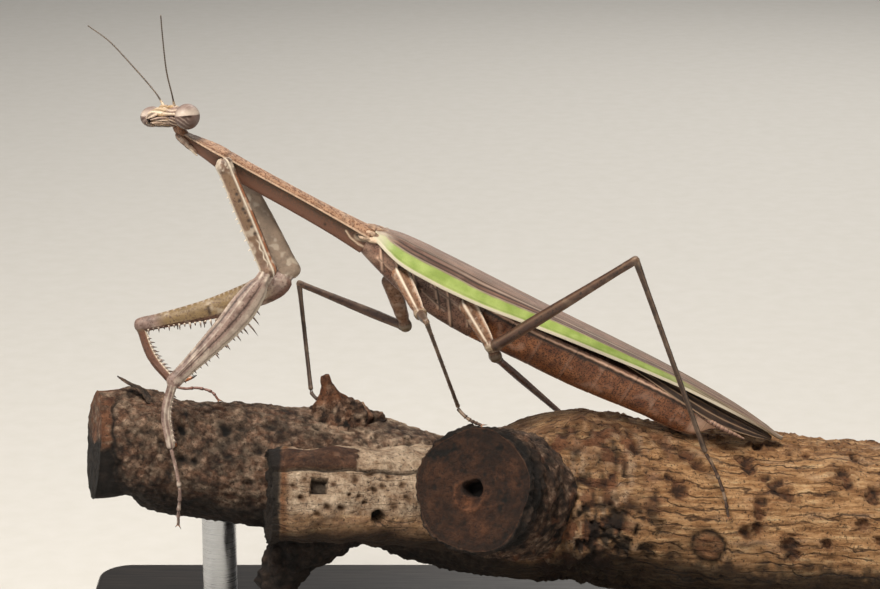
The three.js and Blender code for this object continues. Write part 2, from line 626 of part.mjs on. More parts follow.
const legs = Object.entries(LEGS).map(([name, leg]) => {
  const [fore, hind] = [name.startsWith("fore"), name.startsWith("hind")];
  const { coxa, hollow } = makeCoxa(leg, fore);
  const femur = makeFemur(leg, fore, hind);
  const tibia = makeTibia(leg, fore, hind);
  return { name, fore, hind, hollow, pieces: { coxa, femur, tibia, tarsus: makeTarsus(leg) } };
});

// ------------------------------------------------------------ perch and stand

// A stem of wood: round, with two slow waves in its radius.
function bough(path, radius, count, sides) {
  const curve = new THREE.CatmullRomCurve3(path, false, "centripetal");
  const wave = (angle, t) => 0.025 * Math.sin(5 * angle + 23 * t) + 0.02 * Math.sin(3 * angle - 41 * t + 1.3);
  const ring = (t) => {
    const tangent = curve.getTangent(t);
    const across = V(0, 0, 0).crossVectors(V(0, 0, 1), tangent).normalize();
    const up = V(0, 0, 0).crossVectors(tangent, across);
    return steps(0, 2 * Math.PI * (1 - 1 / sides), sides - 1).map((angle) => {
      const r = along(radius, t) * (1 + wave(angle, t));
      const side = curve.getPoint(t).addScaledVector(across, r * Math.cos(angle));
      return side.addScaledVector(up, r * Math.sin(angle));
    });
  };
  return loft(steps(0, 1, count).map(ring));
}

const stemPath = STEM.map(([x, y, z]) => V(x, y, z));
const stemRadius = STEM.map(([, , , r], i) => [i / (STEM.length - 1), r]);
const curl = loft(
  steps(0, 1, 5).map((t) => {
    const wide = along(CURL.profile, t);
    const centre = CURL.foot.clone().lerp(CURL.tip, t);
    return oval(centre, V(1, 0.1, 0), V(0, 1, 0), CURL.along * wide, CURL.across * wide, 7);
  }),
);
let perch = joined([
  bough(stemPath, stemRadius, 15, 16),
  bough(BROKEN_STEM.path, BROKEN_STEM.radius, 4, 12),
  bough(STUB.path, STUB.radius, 3, 14),
  bough(SNAG.path, SNAG.radius, 3, 9),
  curl,
]);

function slab({ x, y, z, corner, bevel }) {
  const [a, b] = [x / 2 - bevel, y / 2 - bevel];
  const outline = new THREE.Shape();
  outline.absarc(a - corner, b - corner, corner, 0, Math.PI / 2);
  outline.absarc(corner - a, b - corner, corner, Math.PI / 2, Math.PI);
  outline.absarc(corner - a, corner - b, corner, Math.PI, 1.5 * Math.PI);
  outline.absarc(a - corner, corner - b, corner, 1.5 * Math.PI, 2 * Math.PI);
  const depth = z - 2 * bevel;
  const cut = { depth, curveSegments: 3, bevelSize: bevel, bevelThickness: bevel, bevelSegments: 1 };
  return solidOf(new THREE.ExtrudeGeometry(outline, cut).translate(0, 0, bevel));
}

function standRod(spot, bottom, top, r) {
  const rod = new THREE.CylinderGeometry(r, r, top - bottom, 14).rotateX(Math.PI / 2);
  return solidOf(rod.translate(spot.x, spot.y, (bottom + top) / 2));
}

const base = slab(BASE);
const rods = ROD_SPOTS.map((spot) => standRod(spot, BASE.z + 2 * GAP, spot.z, STAND_ROD));
for (const spot of ROD_SPOTS) {
  perch = perch.subtract(standRod(spot, 0, spot.z + 2 * GAP, STAND_ROD + 2 * GAP));
}

// ------------------------------------------------------------ parting the neighbours and naming the nodes

// Eyes, neck, feelers and palps sit in hollows of the head, coxae in hollows of the body plates, and the
// wings and cerci part the plates under them. The bark has hollows for the feet that press on it.
const cutFrom = (solid, others) => biggest(others.reduce((rest, other) => rest.subtract(other), solid));
const hollows = (choose) => legs.filter(choose).map((leg) => leg.hollow);
const feelerSolids = feelers.map(([, solid]) => solid);
const headCuts = [eyeBall(-1, EYE.seam), eyeBall(1, EYE.seam), neck, neckSocket, ...feelerSolids, ...palps];
add("head", cutFrom(capsule, headCuts), TAN);
add("eye_right", eyeBall(-1, 0), EYE_BROWN, 0.3);
add("eye_left", eyeBall(1, 0), EYE_BROWN, 0.3);
add("mouthparts", cutFrom(lip, palps), BROWN);
add("palp_right", palps[0], BROWN);
add("palp_left", palps[1], BROWN);
for (const [name, solid] of feelers) add(name, solid, DARK);
add("neck", neck, TAN);
add("pronotum", cutFrom(shield, hollows((leg) => leg.fore)), TAN);
add("thorax", cutFrom(chest, [...Object.values(wings), ...hollows((leg) => !leg.fore)]), BROWN);
add("abdomen", cutFrom(belly, [...cerci, ...Object.values(wings), ...hollows((leg) => leg.hind)]), BROWN);
add("cercus_right", cerci[1], DARK);
add("cercus_left", cerci[0], DARK);
add("forewing_left", wings.forewing_left, GREEN, 0.5);
add("forewing_right", wings.forewing_right, TAN, 0.5);
add("hindwing_left", wings.hindwing_left, DARK, 0.5);
add("hindwing_right", wings.hindwing_right, DARK, 0.5);
for (const { name, fore, pieces } of legs) {
  const shade = fore ? PALE : DARK;
  for (const [part, solid] of Object.entries(pieces)) add(`${name}_${part}`, biggest(solid), shade);
  perch = perch.subtract(pieces.tarsus).subtract(pieces.tibia);
}
add("perch", biggest(perch), BARK, 0.9);
add("stand_base", base, BLACK, 0.5);
rods.forEach((solid, i) => add(`stand_rod_${i + 1}`, solid, STEEL, 0.4));

export default mantis;
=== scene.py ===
# %% [markdown]
# # A praying mantis on its branch
#
# The object is a life-size model of a brown mantis with a green wing edge, as a museum shows one: the
# insect stands on a short cut branch, and a flat base with two steel rods holds the branch up. The solids
# of the frame fix every place and size. This script gives each of them its true surface: smooth shells
# with seams, keels and spines, leathery wings with veins, and bark that can be felt by eye.
#
# The first cell loads the frame.

import math
from functools import partial

import bpy
import numpy as np
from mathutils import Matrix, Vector


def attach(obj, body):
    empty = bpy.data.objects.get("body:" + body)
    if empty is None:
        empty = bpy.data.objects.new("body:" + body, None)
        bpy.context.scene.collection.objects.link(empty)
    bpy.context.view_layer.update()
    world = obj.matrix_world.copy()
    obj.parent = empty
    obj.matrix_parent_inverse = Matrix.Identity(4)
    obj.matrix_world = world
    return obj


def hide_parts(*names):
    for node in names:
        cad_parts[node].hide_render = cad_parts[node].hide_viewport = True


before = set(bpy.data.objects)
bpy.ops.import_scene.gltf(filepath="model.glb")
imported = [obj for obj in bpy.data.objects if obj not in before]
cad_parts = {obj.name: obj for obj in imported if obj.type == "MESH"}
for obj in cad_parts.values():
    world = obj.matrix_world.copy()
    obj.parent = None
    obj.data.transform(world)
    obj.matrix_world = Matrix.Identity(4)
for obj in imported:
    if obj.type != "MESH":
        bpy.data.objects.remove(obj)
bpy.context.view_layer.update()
MM = 0.001
print("nodes in the frame:", len(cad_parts))

# %% [markdown]
# ## The camera
#
# A small insect is best seen from afar through a long lens, so that its near and far legs keep their true
# proportions. The lens is 118 mm on a 36 mm wide sensor, 0.4 m away and 15 degrees above the insect. The
# camera could be turned by hand; here its direction is worked out from two points, so the aim is exact.

# %% Camera
AIM = Vector((-7, -4, 57)) * MM
DISTANCE = 0.4
LIFT = math.radians(15)
LENS = 118.47


def add_camera(aim, distance, lift, lens):
    """A camera that looks along +Y and down at aim from the given distance and angle."""
    data = bpy.data.cameras.new("camera")
    data.lens = lens
    data.sensor_width = 36
    data.clip_start = 0.01
    camera = bpy.data.objects.new("camera", data)
    bpy.context.scene.collection.objects.link(camera)
    back = Vector((0, -math.cos(lift), math.sin(lift)))
    camera.location = aim + back * distance
    camera.rotation_euler = (-back).to_track_quat("-Z", "Y").to_euler()
    bpy.context.scene.camera = camera
    return camera


camera = add_camera(AIM, DISTANCE, LIFT, LENS)
print("camera at", [round(x, 4) for x in camera.location])

# %% [markdown]
# ## Smooth values, curves and noise
#
# A living shape swells and narrows without a straight line anywhere. Three small tools draw it:
#
# - `along` gives a smooth width or height at any place, from a few stations that are measured;
# - `bend` gives the points of a smooth curve through a few places, for the middle line of a limb;
# - `noise` and `cells` give the same irregular number at the same place every time, for bark and speckles.
#
# All of them take whole arrays, so a surface with a hundred thousand points needs no loop.

# %% Values, curves and noise
def unit(v):
    """v scaled to length 1, along its last axis."""
    v = np.asarray(v, float)
    return v / np.maximum(np.linalg.norm(v, axis=-1, keepdims=True), 1e-12)


def mix(a, b, t):
    """a at t = 0, b at t = 1, and evenly between."""
    return a + (b - a) * t


def around(count):
    """Angles for the points of a ring, from 0 to just under a full turn."""
    return np.linspace(0, 2 * np.pi, count, endpoint=False)


def hump(x, middle, width):
    """1 at the middle, falling to both sides as a bell of that width."""
    return np.exp(-(((np.asarray(x) - middle) / width) ** 2))


def blob(a, b, width):
    """A bell of that width round the place where a and b are both 0."""
    return hump(np.hypot(a, b), 0, width)


def step(low, high, x):
    """0 below low, 1 above high, and a smooth S between."""
    t = np.clip((np.asarray(x, float) - low) / (high - low), 0, 1)
    return t * t * (3 - 2 * t)


def strongest(marks):
    """The largest of several marks at each point."""
    most = marks[0]
    for mark in marks[1:]:
        most = np.maximum(most, mark)
    return most


def along(stations, x):
    """A smooth value at x through [place, value] stations: in each gap a cubic whose slopes at its ends
    are those of the lines between the neighbours of each station."""
    at, value = np.array(stations, float).T
    slope = np.gradient(value, at) if len(at) > 2 else np.full(2, np.diff(value) / np.diff(at))
    slope[1:-1] = (value[2:] - value[:-2]) / (at[2:] - at[:-2])
    i = np.clip(np.searchsorted(at, x, side="right") - 1, 0, len(at) - 2)
    h = at[i + 1] - at[i]
    t = np.clip((np.asarray(x, float) - at[i]) / h, 0, 1)
    ends = (2 * t**3 - 3 * t**2 + 1) * value[i] + (3 * t**2 - 2 * t**3) * value[i + 1]
    return ends + (t**3 - 2 * t**2 + t) * h * slope[i] + (t**3 - t**2) * h * slope[i + 1]


def bend(places, t):
    """Points for t from 0 to 1 on a centripetal Catmull-Rom curve through the places: each gap is a cubic
    whose end slopes come from the neighbours, weighted by the square roots of the gaps."""
    p = np.array(places, float)
    p = np.vstack([2 * p[0] - p[1], p, 2 * p[-1] - p[-2]])
    x = np.clip(np.asarray(t, float), 0, 1) * (len(places) - 1)
    i = np.minimum(x.astype(int), len(places) - 2)
    u = (x - i)[..., None]
    a, b, c, d = (p[i + k] for k in range(4))
    gaps = (b - a, c - b, d - c)
    ab, bc, cd = (np.linalg.norm(gap, axis=-1, keepdims=True) ** 0.5 + 1e-9 for gap in gaps)
    first = ((b - a) / ab - (c - a) / (ab + bc) + (c - b) / bc) * bc
    last = ((c - b) / bc - (d - b) / (bc + cd) + (d - c) / cd) * bc
    ends = (2 * u**3 - 3 * u**2 + 1) * b + (3 * u**2 - 2 * u**3) * c
    return ends + (u**3 - 2 * u**2 + u) * first + (u**3 - u**2) * last


def lattice(place, seed):
    """A fixed random number from 0 to 1 for each whole-number place (x, y, z)."""
    n = (
        place[..., 0] * 374761393 + place[..., 1] * 668265263 + place[..., 2] * 974634613
        + seed * 1274126177
    )
    n = n & 0xFFFFFFFF
    n = ((n ^ (n >> 13)) * 1274126177) & 0xFFFFFFFF
    return ((n ^ (n >> 16)) & 0xFFFF) / 65535


def noise(points, size, seed=0, octaves=1):
    """Smooth irregular numbers from -1 to 1: lattice numbers blended between whole places, the places
    size mm apart. Each further octave halves the size and the strength."""
    total = 0
    for k in range(octaves):
        x = points / np.asarray(size, float) * 2**k + 17.3 * k
        cell = np.floor(x).astype(np.int64)
        f = x - cell
        f = f * f * (3 - 2 * f)
        for corner in np.ndindex(2, 2, 2):
            share = np.prod(np.where(corner, f, 1 - f), axis=-1)
            total = total + share * (2 * lattice(cell + np.array(corner), seed + k) - 1) * 0.5**k
    return total / (2 - 0.5 ** (octaves - 1))


def cells(points, size, seed=0):
    """Distance, in steps of size mm, to the nearest of a cloud of random dots, one dot for each cube of
    that size, and a random number from 0 to 1 that belongs to the dot."""
    x = points / np.asarray(size, float)
    cell = np.floor(x).astype(np.int64)
    best = np.full(x.shape[:-1], 9.0)
    own = np.zeros(x.shape[:-1])
    for corner in np.ndindex(3, 3, 3):
        home = cell + np.array(corner) - 1
        dot = home + np.stack([lattice(home, seed + k) for k in (1, 2, 3)], axis=-1)
        far = np.linalg.norm(dot - x, axis=-1)
        own = np.where(far < best, lattice(home, seed + 4), own)
        best = np.minimum(best, far)
    return best, own


print("noise at three places:", np.round(noise(np.array([[0.0, 0, 0], [1, 2, 3], [4, 5, 6]]), 2.5), 3))

# %% [markdown]
# ## From a grid of points to a mesh
#
# Every piece here is a tube of some kind: rows of rings. A ring has the same number of points in each
# row, so the faces follow from counting, and the two ends are closed with a fan of triangles. Blender
# could loft such rings with curves and bevels, but a grid keeps each point's two parameters, and with
# them the piece can be shaped and marked: a keel along one line, a dark stripe along another.
#
# `Grid` holds the points with their parameters. `raised` pushes the surface in or out along its normals.
# `skin` joins one or more grids into a mesh and turns each closed shell to face outwards. A mark, such as
# "dark" or "pale", is a number from 0 to 1 at each point, stored as an attribute that the material reads.

# %% Grids and meshes
class Grid:
    """Rings of points: at is (rows, columns, 3) in mm, t and phi are the parameters, marks is named
    numbers."""

    def __init__(self, at, t=None, phi=None):
        self.at = at
        rows, cols = at.shape[:2]
        self.t = np.linspace(0, 1, rows)[:, None] if t is None else t
        self.phi = around(cols)[None, :] if phi is None else phi
        self.marks = {}

    def mark(self, **named):
        """Stores marks, each cut to the range 0 to 1. A list stands for the largest of its values."""
        for name, value in named.items():
            value = strongest(value) if isinstance(value, list) else value
            self.marks[name] = np.clip(np.broadcast_to(value, self.at.shape[:2]), 0, 1)
        return self


def outward(at):
    """The unit normal at each point of a ring grid, away from the middle of its ring."""
    round_way = np.roll(at, -1, axis=1) - np.roll(at, 1, axis=1)
    long_way = np.gradient(at, axis=0)
    normal = unit(np.cross(round_way, long_way))
    out = at - at.mean(axis=1, keepdims=True)
    flip = np.sign((normal * out).sum(axis=(1, 2), keepdims=True))
    return normal * np.where(flip == 0, 1, flip)


def raised(grid, height):
    """Moves each point of the grid along its normal by height mm."""
    grid.at = grid.at + outward(grid.at) * np.broadcast_to(height, grid.at.shape[:2])[..., None]
    return grid


def closed_ends(first, last, rows, caps, opening=0.12):
    """For rows of rings from first to last with caps more rows at each end: each row's place, how far it
    moves outward and how much it shrinks, along a quarter circle that starts opening radians from the
    pole."""
    turn = np.linspace(np.pi / 2 - opening, 0, caps, endpoint=False)
    place = np.concatenate([np.full(caps, first), np.linspace(first, last, rows), np.full(caps, last)])
    shift = np.concatenate([-np.sin(turn), np.zeros(rows), np.sin(turn[::-1])])
    return place, shift, np.concatenate([np.cos(turn), np.ones(rows), np.cos(turn[::-1])])


def sweep(places, half, rows, cols, back, outer, dome=0.8, caps=5):
    """Rings carried along a curve through the places. A ring's point is the middle + across * a *
    cos(phi) + up * b * sin(phi), where half(t, phi) gives a and b. across points to the outer side and up
    to the back. Each end closes in rows that shrink as a quarter circle, dome times as long as the ring
    is wide."""
    t, shift, scale = closed_ends(0, 1, rows, caps)
    middle = bend(places, t)
    tangent = unit(bend(places, np.minimum(t + 0.01, 1)) - bend(places, np.maximum(t - 0.01, 0)))
    across = unit(np.cross(back, tangent))
    across = across * np.where((across * outer).sum(-1, keepdims=True) < 0, -1, 1)
    up = unit(np.cross(tangent, across))
    up = up * np.where((up * back).sum(-1, keepdims=True) < 0, -1, 1)
    t, phi = t[:, None], around(cols)[None, :]
    a, b = (np.broadcast_to(x, (len(t), cols)) for x in half(t, phi))
    middle = middle + tangent * (shift * dome * np.maximum(a, b).mean(1))[:, None]
    ring = across[:, None] * (a * np.cos(phi))[..., None] + up[:, None] * (b * np.sin(phi))[..., None]
    return Grid(middle[:, None] + ring * scale[:, None, None], t, phi)


def faces_of(rows, cols, start):
    """Corner numbers of a closed ring grid whose points start at start: quads between rows and two fans.
    The middles of the fans are the two points after the grid."""
    r, c = np.meshgrid(np.arange(rows - 1), np.arange(cols), indexing="ij")
    n = (c + 1) % cols
    quads = np.stack([r * cols + c, r * cols + n, (r + 1) * cols + n, (r + 1) * cols + c], -1).reshape(
        -1, 4,
    )
    c, n = np.arange(cols), (np.arange(cols) + 1) % cols
    last = (rows - 1) * cols
    first_fan = np.stack([np.full(cols, rows * cols), n, c], -1)
    last_fan = np.stack([np.full(cols, rows * cols + 1), last + c, last + n], -1)
    return quads + start, np.vstack([first_fan, last_fan]) + start


def volume(points, quads, fans):
    """Six times the signed volume inside the faces: the sum of each triangle's triple product."""
    tris = np.vstack([quads[:, [0, 1, 2]], quads[:, [0, 2, 3]], fans])
    a, b, c = (points[tris[:, k]] for k in range(3))
    return (a * np.cross(b, c)).sum()


MARKS = ("dark", "pale", "tint", "warm", "turn")


def skin(name, grids, material, replaces=()):
    """One mesh object from closed grids, in metres, with its marks, its material and its place in the
    frame."""
    points, quads, fans, marks = [], [], [], {key: [] for key in MARKS}
    start = 0
    for grid in grids:
        rows, cols = grid.at.shape[:2]
        own = np.vstack([grid.at.reshape(-1, 3), grid.at[0].mean(0), grid.at[-1].mean(0)])
        four, three = faces_of(rows, cols, 0)
        if volume(own - own.mean(0), four, three) < 0:
            four, three = four[:, ::-1], three[:, ::-1]
        points.append(own)
        quads.append(four + start)
        fans.append(three + start)
        for key in MARKS:
            value = grid.marks.get(key, np.zeros((rows, cols)))
            marks[key].append(np.append(value.ravel(), [value[0].mean(), value[-1].mean()]))
        start += len(own)
    points, quads, fans = np.vstack(points), np.vstack(quads), np.vstack(fans)
    corners = np.concatenate([quads.ravel(), fans.ravel()])
    sizes = np.concatenate([np.full(len(quads), 4), np.full(len(fans), 3)])
    mesh = bpy.data.meshes.new(name)
    mesh.vertices.add(len(points))
    mesh.vertices.foreach_set("co", (points * MM).ravel())
    mesh.loops.add(len(corners))
    mesh.loops.foreach_set("vertex_index", corners)
    mesh.polygons.add(len(sizes))
    mesh.polygons.foreach_set("loop_start", np.concatenate([[0], np.cumsum(sizes)[:-1]]))
    mesh.update(calc_edges=True)
    mesh.validate()
    mesh.polygons.foreach_set("use_smooth", np.ones(len(mesh.polygons), bool))
    for key in MARKS:
        layer = mesh.attributes.new(key, "FLOAT", "POINT")
        layer.data.foreach_set("value", np.concatenate(marks[key]).astype(np.float32))
    mesh.materials.append(material)
    piece = bpy.data.objects.new(name, mesh)
    bpy.context.scene.collection.objects.link(piece)
    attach(piece, "root")
    if replaces:
        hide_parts(*replaces)
    print(f"{name}: {len(quads) * 2 + len(fans)} triangles, {np.round(np.ptp(points, axis=0), 1)} mm")
    return piece


def spikes(feet, aims, lengths, radius, curl=(0, 0, 0), rows=6, cols=7):
    """One pointed spine for each foot: a cone whose radius falls as (1 - h) ** 0.7 over its height h and
    whose middle line leans by curl * h * h. The upper half is marked dark."""
    feet = np.asarray(feet, float)
    aims = np.broadcast_to(unit(aims), feet.shape)
    lengths = np.broadcast_to(lengths, len(feet))[:, None, None]
    side = unit(np.cross(aims, [0.31, 0.87, 0.38]))
    other = np.cross(aims, side)
    h = np.linspace(-0.1, 0.99, rows)
    phi = around(cols)
    lean = np.asarray(curl, float) * (np.maximum(h, 0) ** 2)[:, None]
    middle = feet[:, None] + (aims[:, None] * h[:, None] + lean[None]) * lengths
    wide = radius * (1 - np.maximum(h, 0)) ** 0.7
    ring = side[:, None] * np.cos(phi)[:, None] + other[:, None] * np.sin(phi)[:, None]
    all_at = middle[:, :, None] + ring[:, None] * wide[:, None, None]
    dark, pale = step(0.35, 0.75, h)[:, None], 1 - step(0.0, 0.4, h)[:, None]
    return [Grid(at).mark(dark=dark, pale=pale) for at in all_at]

# %% [markdown]
# ## Cuticle, the stuff an insect is made of
#
# Chitin is a dry, horny stuff, moulded when the insect sheds its skin. It has a satin gloss and an index
# of refraction of about 1.56, and its colour lies in and under the surface in specks far smaller than a
# millimetre. A plain colour with a texture picture could stand for it. Here the colour is built in layers
# by nodes instead, so that it is as sharp from near as from afar: a mottled ground, flecks, and then the
# tint, the pale and the dark marks that each piece carries.
#
# `linear` turns a colour from a screen's hex value to the linear light that the shader works in. `node`
# adds any node with its settings, links and, on a ramp, its stops.

# %% Nodes and colours
def linear(colour):
    """Linear RGBA of an sRGB hex colour: each channel over 12.92 near black, else the 2.4 power curve."""
    c = np.array([int(colour[i : i + 2], 16) for i in (1, 3, 5)]) / 255
    c = np.where(c <= 0.04045, c / 12.92, ((c + 0.055) / 1.055) ** 2.4)
    return (*c.tolist(), 1.0)


def node(tree, kind, inputs=None, stops=None, out=0, **settings):
    """Adds one shader node and gives back its output out. inputs maps a socket to a value, a hex colour
    or another node's output; stops are a ramp's."""
    made = tree.nodes.new("ShaderNode" + kind)
    for key, value in settings.items():
        setattr(made, key, value)
    for socket, value in (inputs or {}).items():
        if isinstance(value, bpy.types.NodeSocket):
            tree.links.new(value, made.inputs[socket])
        else:
            made.inputs[socket].default_value = linear(value) if isinstance(value, str) else value
    if stops:
        ramp = made.color_ramp.elements
        for k, (place, colour) in enumerate(stops):
            stop = ramp[k] if k < 2 else ramp.new(place)
            stop.position = place
            stop.color = linear(colour) if isinstance(colour, str) else (colour, colour, colour, 1)
    return made.outputs[out] if made.outputs else None


def material(name):
    """An empty node material, what adds a node to it, and the place on the piece in metres."""
    made = bpy.data.materials.new(name)
    made.use_nodes = True
    made.node_tree.nodes.clear()
    add = partial(node, made.node_tree)
    return made, add, add("TexCoord", out="Object")


def per_mm(size):
    """The scale of a texture on metre coordinates whose features are size mm wide."""
    return 1 / (size * MM)


def finish(add, colour, rough, height, depth, **sockets):
    """Ends a material: the shader with its colour, roughness and a bump of the given depth in mm."""
    bump = add("Bump", {"Height": height, "Distance": depth * MM})
    inputs = {"Base Color": colour, "Roughness": rough, "Normal": bump}
    inputs |= {key.replace("_", " "): value for key, value in sockets.items()}
    shader = add("BsdfPrincipled", inputs)
    add("OutputMaterial", {"Surface": shader})


def marked(add, colour, name, paint):
    """colour with paint laid over it where the piece's mark of that name is strong."""
    mark = add("Attribute", out="Fac", attribute_name=name)
    return add("Mix", {0: mark, 6: colour, 7: paint}, out=2, data_type="RGBA")


CHITIN_IOR = 1.56


def cuticle(
    name, ground, fleck, tint, pale, dark, grain=0.5, flecks=0.62, rough=(0.38, 0.6), depth=0.02,
    warm="#7a3a24",
):
    """Satin chitin. ground is two mottled colours, fleck the colour of small specks; tint, pale, dark and
    warm are the paints of the marks. grain is the size of the specks in mm; a higher flecks value gives
    fewer."""
    made, add, place = material(name)
    patches = add("TexNoise", {"Vector": place, "Scale": per_mm(1.6), "Detail": 5.0, "Roughness": 0.62})
    colour = add("ValToRGB", {0: patches}, [(0.36, ground[0]), (0.66, ground[1])])
    colour = marked(add, colour, "tint", tint)
    colour = marked(add, colour, "warm", warm)
    specks = add("TexNoise", {"Vector": place, "Scale": per_mm(grain), "Detail": 3.0, "Roughness": 0.55})
    many = add("ValToRGB", {0: specks}, [(flecks - 0.05, 0.0), (flecks + 0.05, 0.85)])
    colour = add("Mix", {0: many, 6: colour, 7: fleck}, out=2, data_type="RGBA")
    colour = marked(add, colour, "pale", pale)
    colour = marked(add, colour, "dark", dark)
    gloss = add("MapRange", {0: specks, 1: 0.3, 2: 0.7, 3: rough[0], 4: rough[1]})
    pores = add("TexVoronoi", {"Vector": place, "Scale": per_mm(grain * 0.6)})
    height = add("Math", {0: pores, 1: specks}, operation="ADD")
    finish(add, colour, gloss, height, depth, IOR=CHITIN_IOR)
    return made


# Satin brown chitin of the long shield: tan, with rusty flecks, over olive and red-brown sides, whose
# paints are darkened with painted shade.
SHIELD = cuticle(
    "shield_chitin", ("#8e6b50", "#b78f71"), "#63371f", "#3a2410", "#dcc3a8", "#211207", 0.3, 0.54,
    (0.5, 0.7), 0.03, "#63301c",
)
# The head's chitin is finer and paler, pinkish on the cheeks and almost ivory along its ridges.
HEAD_CHITIN = cuticle(
    "head_chitin", ("#7f6358", "#ab8d80"), "#5f4237", "#b08d5c", "#dfcdb6", "#26150c", 0.3, 0.62,
)
# Warm red-brown chitin of the abdomen, speckled almost black; chest and upper plates are olive and mauve.
BODY = cuticle(
    "body_chitin", ("#6e3b1d", "#9a613a"), "#30170b", "#77584a", "#deb9a0", "#1f0f07", 0.22, 0.54,
)
# Pale pinkish chitin of the grasping legs, with a translucent look and dark lines.
GRASP = cuticle(
    "grasping_chitin", ("#6f5950", "#9a8176"), "#553b32", "#836c46", "#e0d2c0", "#2a1710", 0.3, 0.6,
)
# Dark, slightly oily chitin of the thin walking legs.
WALK = cuticle(
    "walking_chitin", ("#3a271c", "#5b4333"), "#1d120b", "#8a6a52", "#a98f76", "#150d08", 0.4, 0.6,
)
# The feelers are threads of dark chitin, paler at their thick first joints.
THREAD = cuticle(
    "feeler_chitin", ("#3c2c22", "#57422f"), "#241810", "#8a6a52", "#d8c3a8", "#150d08", 0.3, 0.6,
)

# %% [markdown]
# ## The body's own measures
#
# The insect's trunk leans at 28.5 degrees. It is easiest to shape in its own measures: s along the body
# from the wing hinges towards the tail, y to its right, v out of its back. `on_body` turns these into
# places in the frame. `trunk` carries a half section, from the keel to the ridge, along s; the other half
# mirrors it, as an insect's plates do.

# %% Trunk sections
PITCH = math.radians(28.5)
HINGE = np.array([-16.4, -4.0, 64.8])
AFT = np.array([math.cos(PITCH), 0, -math.sin(PITCH)])
RIGHT = np.array([0.0, 1, 0])
BACK = np.array([math.sin(PITCH), 0, math.cos(PITCH)])


def on_body(s, y, v):
    """Places in the frame, in mm: s aft of the hinges, y to the insect's right, v out of its back."""
    s, y, v = np.broadcast_arrays(s, y, v)
    return HINGE + s[..., None] * AFT + y[..., None] * RIGHT + v[..., None] * BACK


def trunk(first, last, rows, count, section, dome=0.5, caps=6):
    """Rings round the body from s = first to last. section(s) lists the [y, v] corners of the right half;
    a Catmull-Rom curve rounds them with count points, and phi counts corners from the keel, 0, to the
    ridge."""
    s, shift, scale = closed_ends(first, last, rows, caps)
    corners = np.stack([np.stack(np.broadcast_arrays(y, v, s)[:2], -1) for y, v in section(s)], axis=1)
    last_corner = corners.shape[1] - 1
    mirror = np.array([-1, 1])
    padded = np.concatenate([corners[:, 1:2] * mirror, corners, corners[:, -2:-1] * mirror], axis=1)
    q = np.linspace(0, last_corner, count)
    i = np.minimum(q.astype(int), last_corner - 1)
    u = (q - i)[:, None]
    a, b, c, d = (padded[:, i + k] for k in range(4))
    half = b + u * (c - a) / 2 + u**2 * (2 * a - 5 * b + 4 * c - d) / 2 + u**3 * (3 * b - a - 3 * c + d) / 2
    ring = np.concatenate([half, half[:, -2:0:-1] * mirror], axis=1)
    middle = ring.mean(axis=1, keepdims=True)
    ring = middle + (ring - middle) * scale[:, None, None]
    at = on_body((s + shift * dome)[:, None], ring[..., 0], ring[..., 1])
    grid = Grid(at, s[:, None], np.concatenate([q, q[-2:0:-1]])[None, :])
    grid.y, grid.v = ring[..., 0], ring[..., 1]
    return grid


def far_from(s, v, line):
    """Distance in mm from the places (s, v) to a straight line between two places."""
    (s0, v0), (s1, v1) = line
    t = np.clip(((s - s0) * (s1 - s0) + (v - v0) * (v1 - v0)) / ((s1 - s0) ** 2 + (v1 - v0) ** 2), 0, 1)
    return np.hypot(s - s0 - t * (s1 - s0), v - v0 - t * (v1 - v0))


# %% [markdown]
# ## The long shield
#
# The pronotum is one saddle-shaped plate, 28.5 mm long, folded down over a keeled underside. It swells
# over the fore hips, where a groove crosses it, and carries a fine ridge along its middle and a pale,
# faintly toothed edge on each side. Sculpting could do this, but the plate is so regular that a section
# with a width, a top, an edge and a keel at each place says it all.

# %% Shield
SHIELD_FROM, SHIELD_TO = -29.2, -0.7
SHIELD_WIDTH = [
    [-29.2, 0.95], [-27.5, 1.5], [-24.4, 2.3], [-21.5, 1.75], [-14, 1.45], [-5, 1.75], [-0.7, 2.05],
]
SHIELD_TOP = [[-29.2, 1.3], [-24, 1.8], [-20, 1.65], [-9, 1.5], [-0.7, 1.7]]
SHIELD_EDGE = [[-29.2, 0.95], [-24, 1.05], [-18, 0.85], [-8, 0.65], [-0.7, 0.45]]
SHIELD_KEEL = [[-29.2, -0.35], [-25.5, -0.7], [-21, -1.35], [-13, -1.55], [-6, -1.8], [-0.7, -2.2]]


def shield_section(s):
    """Keel, two corners of the side, two of the edge, one of the top and the ridge, as [y, v]."""
    w, top, edge, keel = (along(x, s) for x in (SHIELD_WIDTH, SHIELD_TOP, SHIELD_EDGE, SHIELD_KEEL))
    return [
        (0 * s, keel), (0.55 * w, keel + 0.15), (0.78 * w, mix(keel, edge, 0.7)),
        (w, edge - 0.12), (w, edge + 0.12), (0.6 * w, mix(edge, top, 0.72)), (0 * s, top),
    ]


# The pale rim of the soft side behind the shield, from (s, v) to (s, v), and two dark spots before it.
SIDE_RIM = [(-3.81, -0.23), (-2.88, -0.79), (-1.47, -1.09), (-0.09, -1.05)]
SIDE_SPOTS = [(-6.74, -0.86), (-6.4, -1.8)]


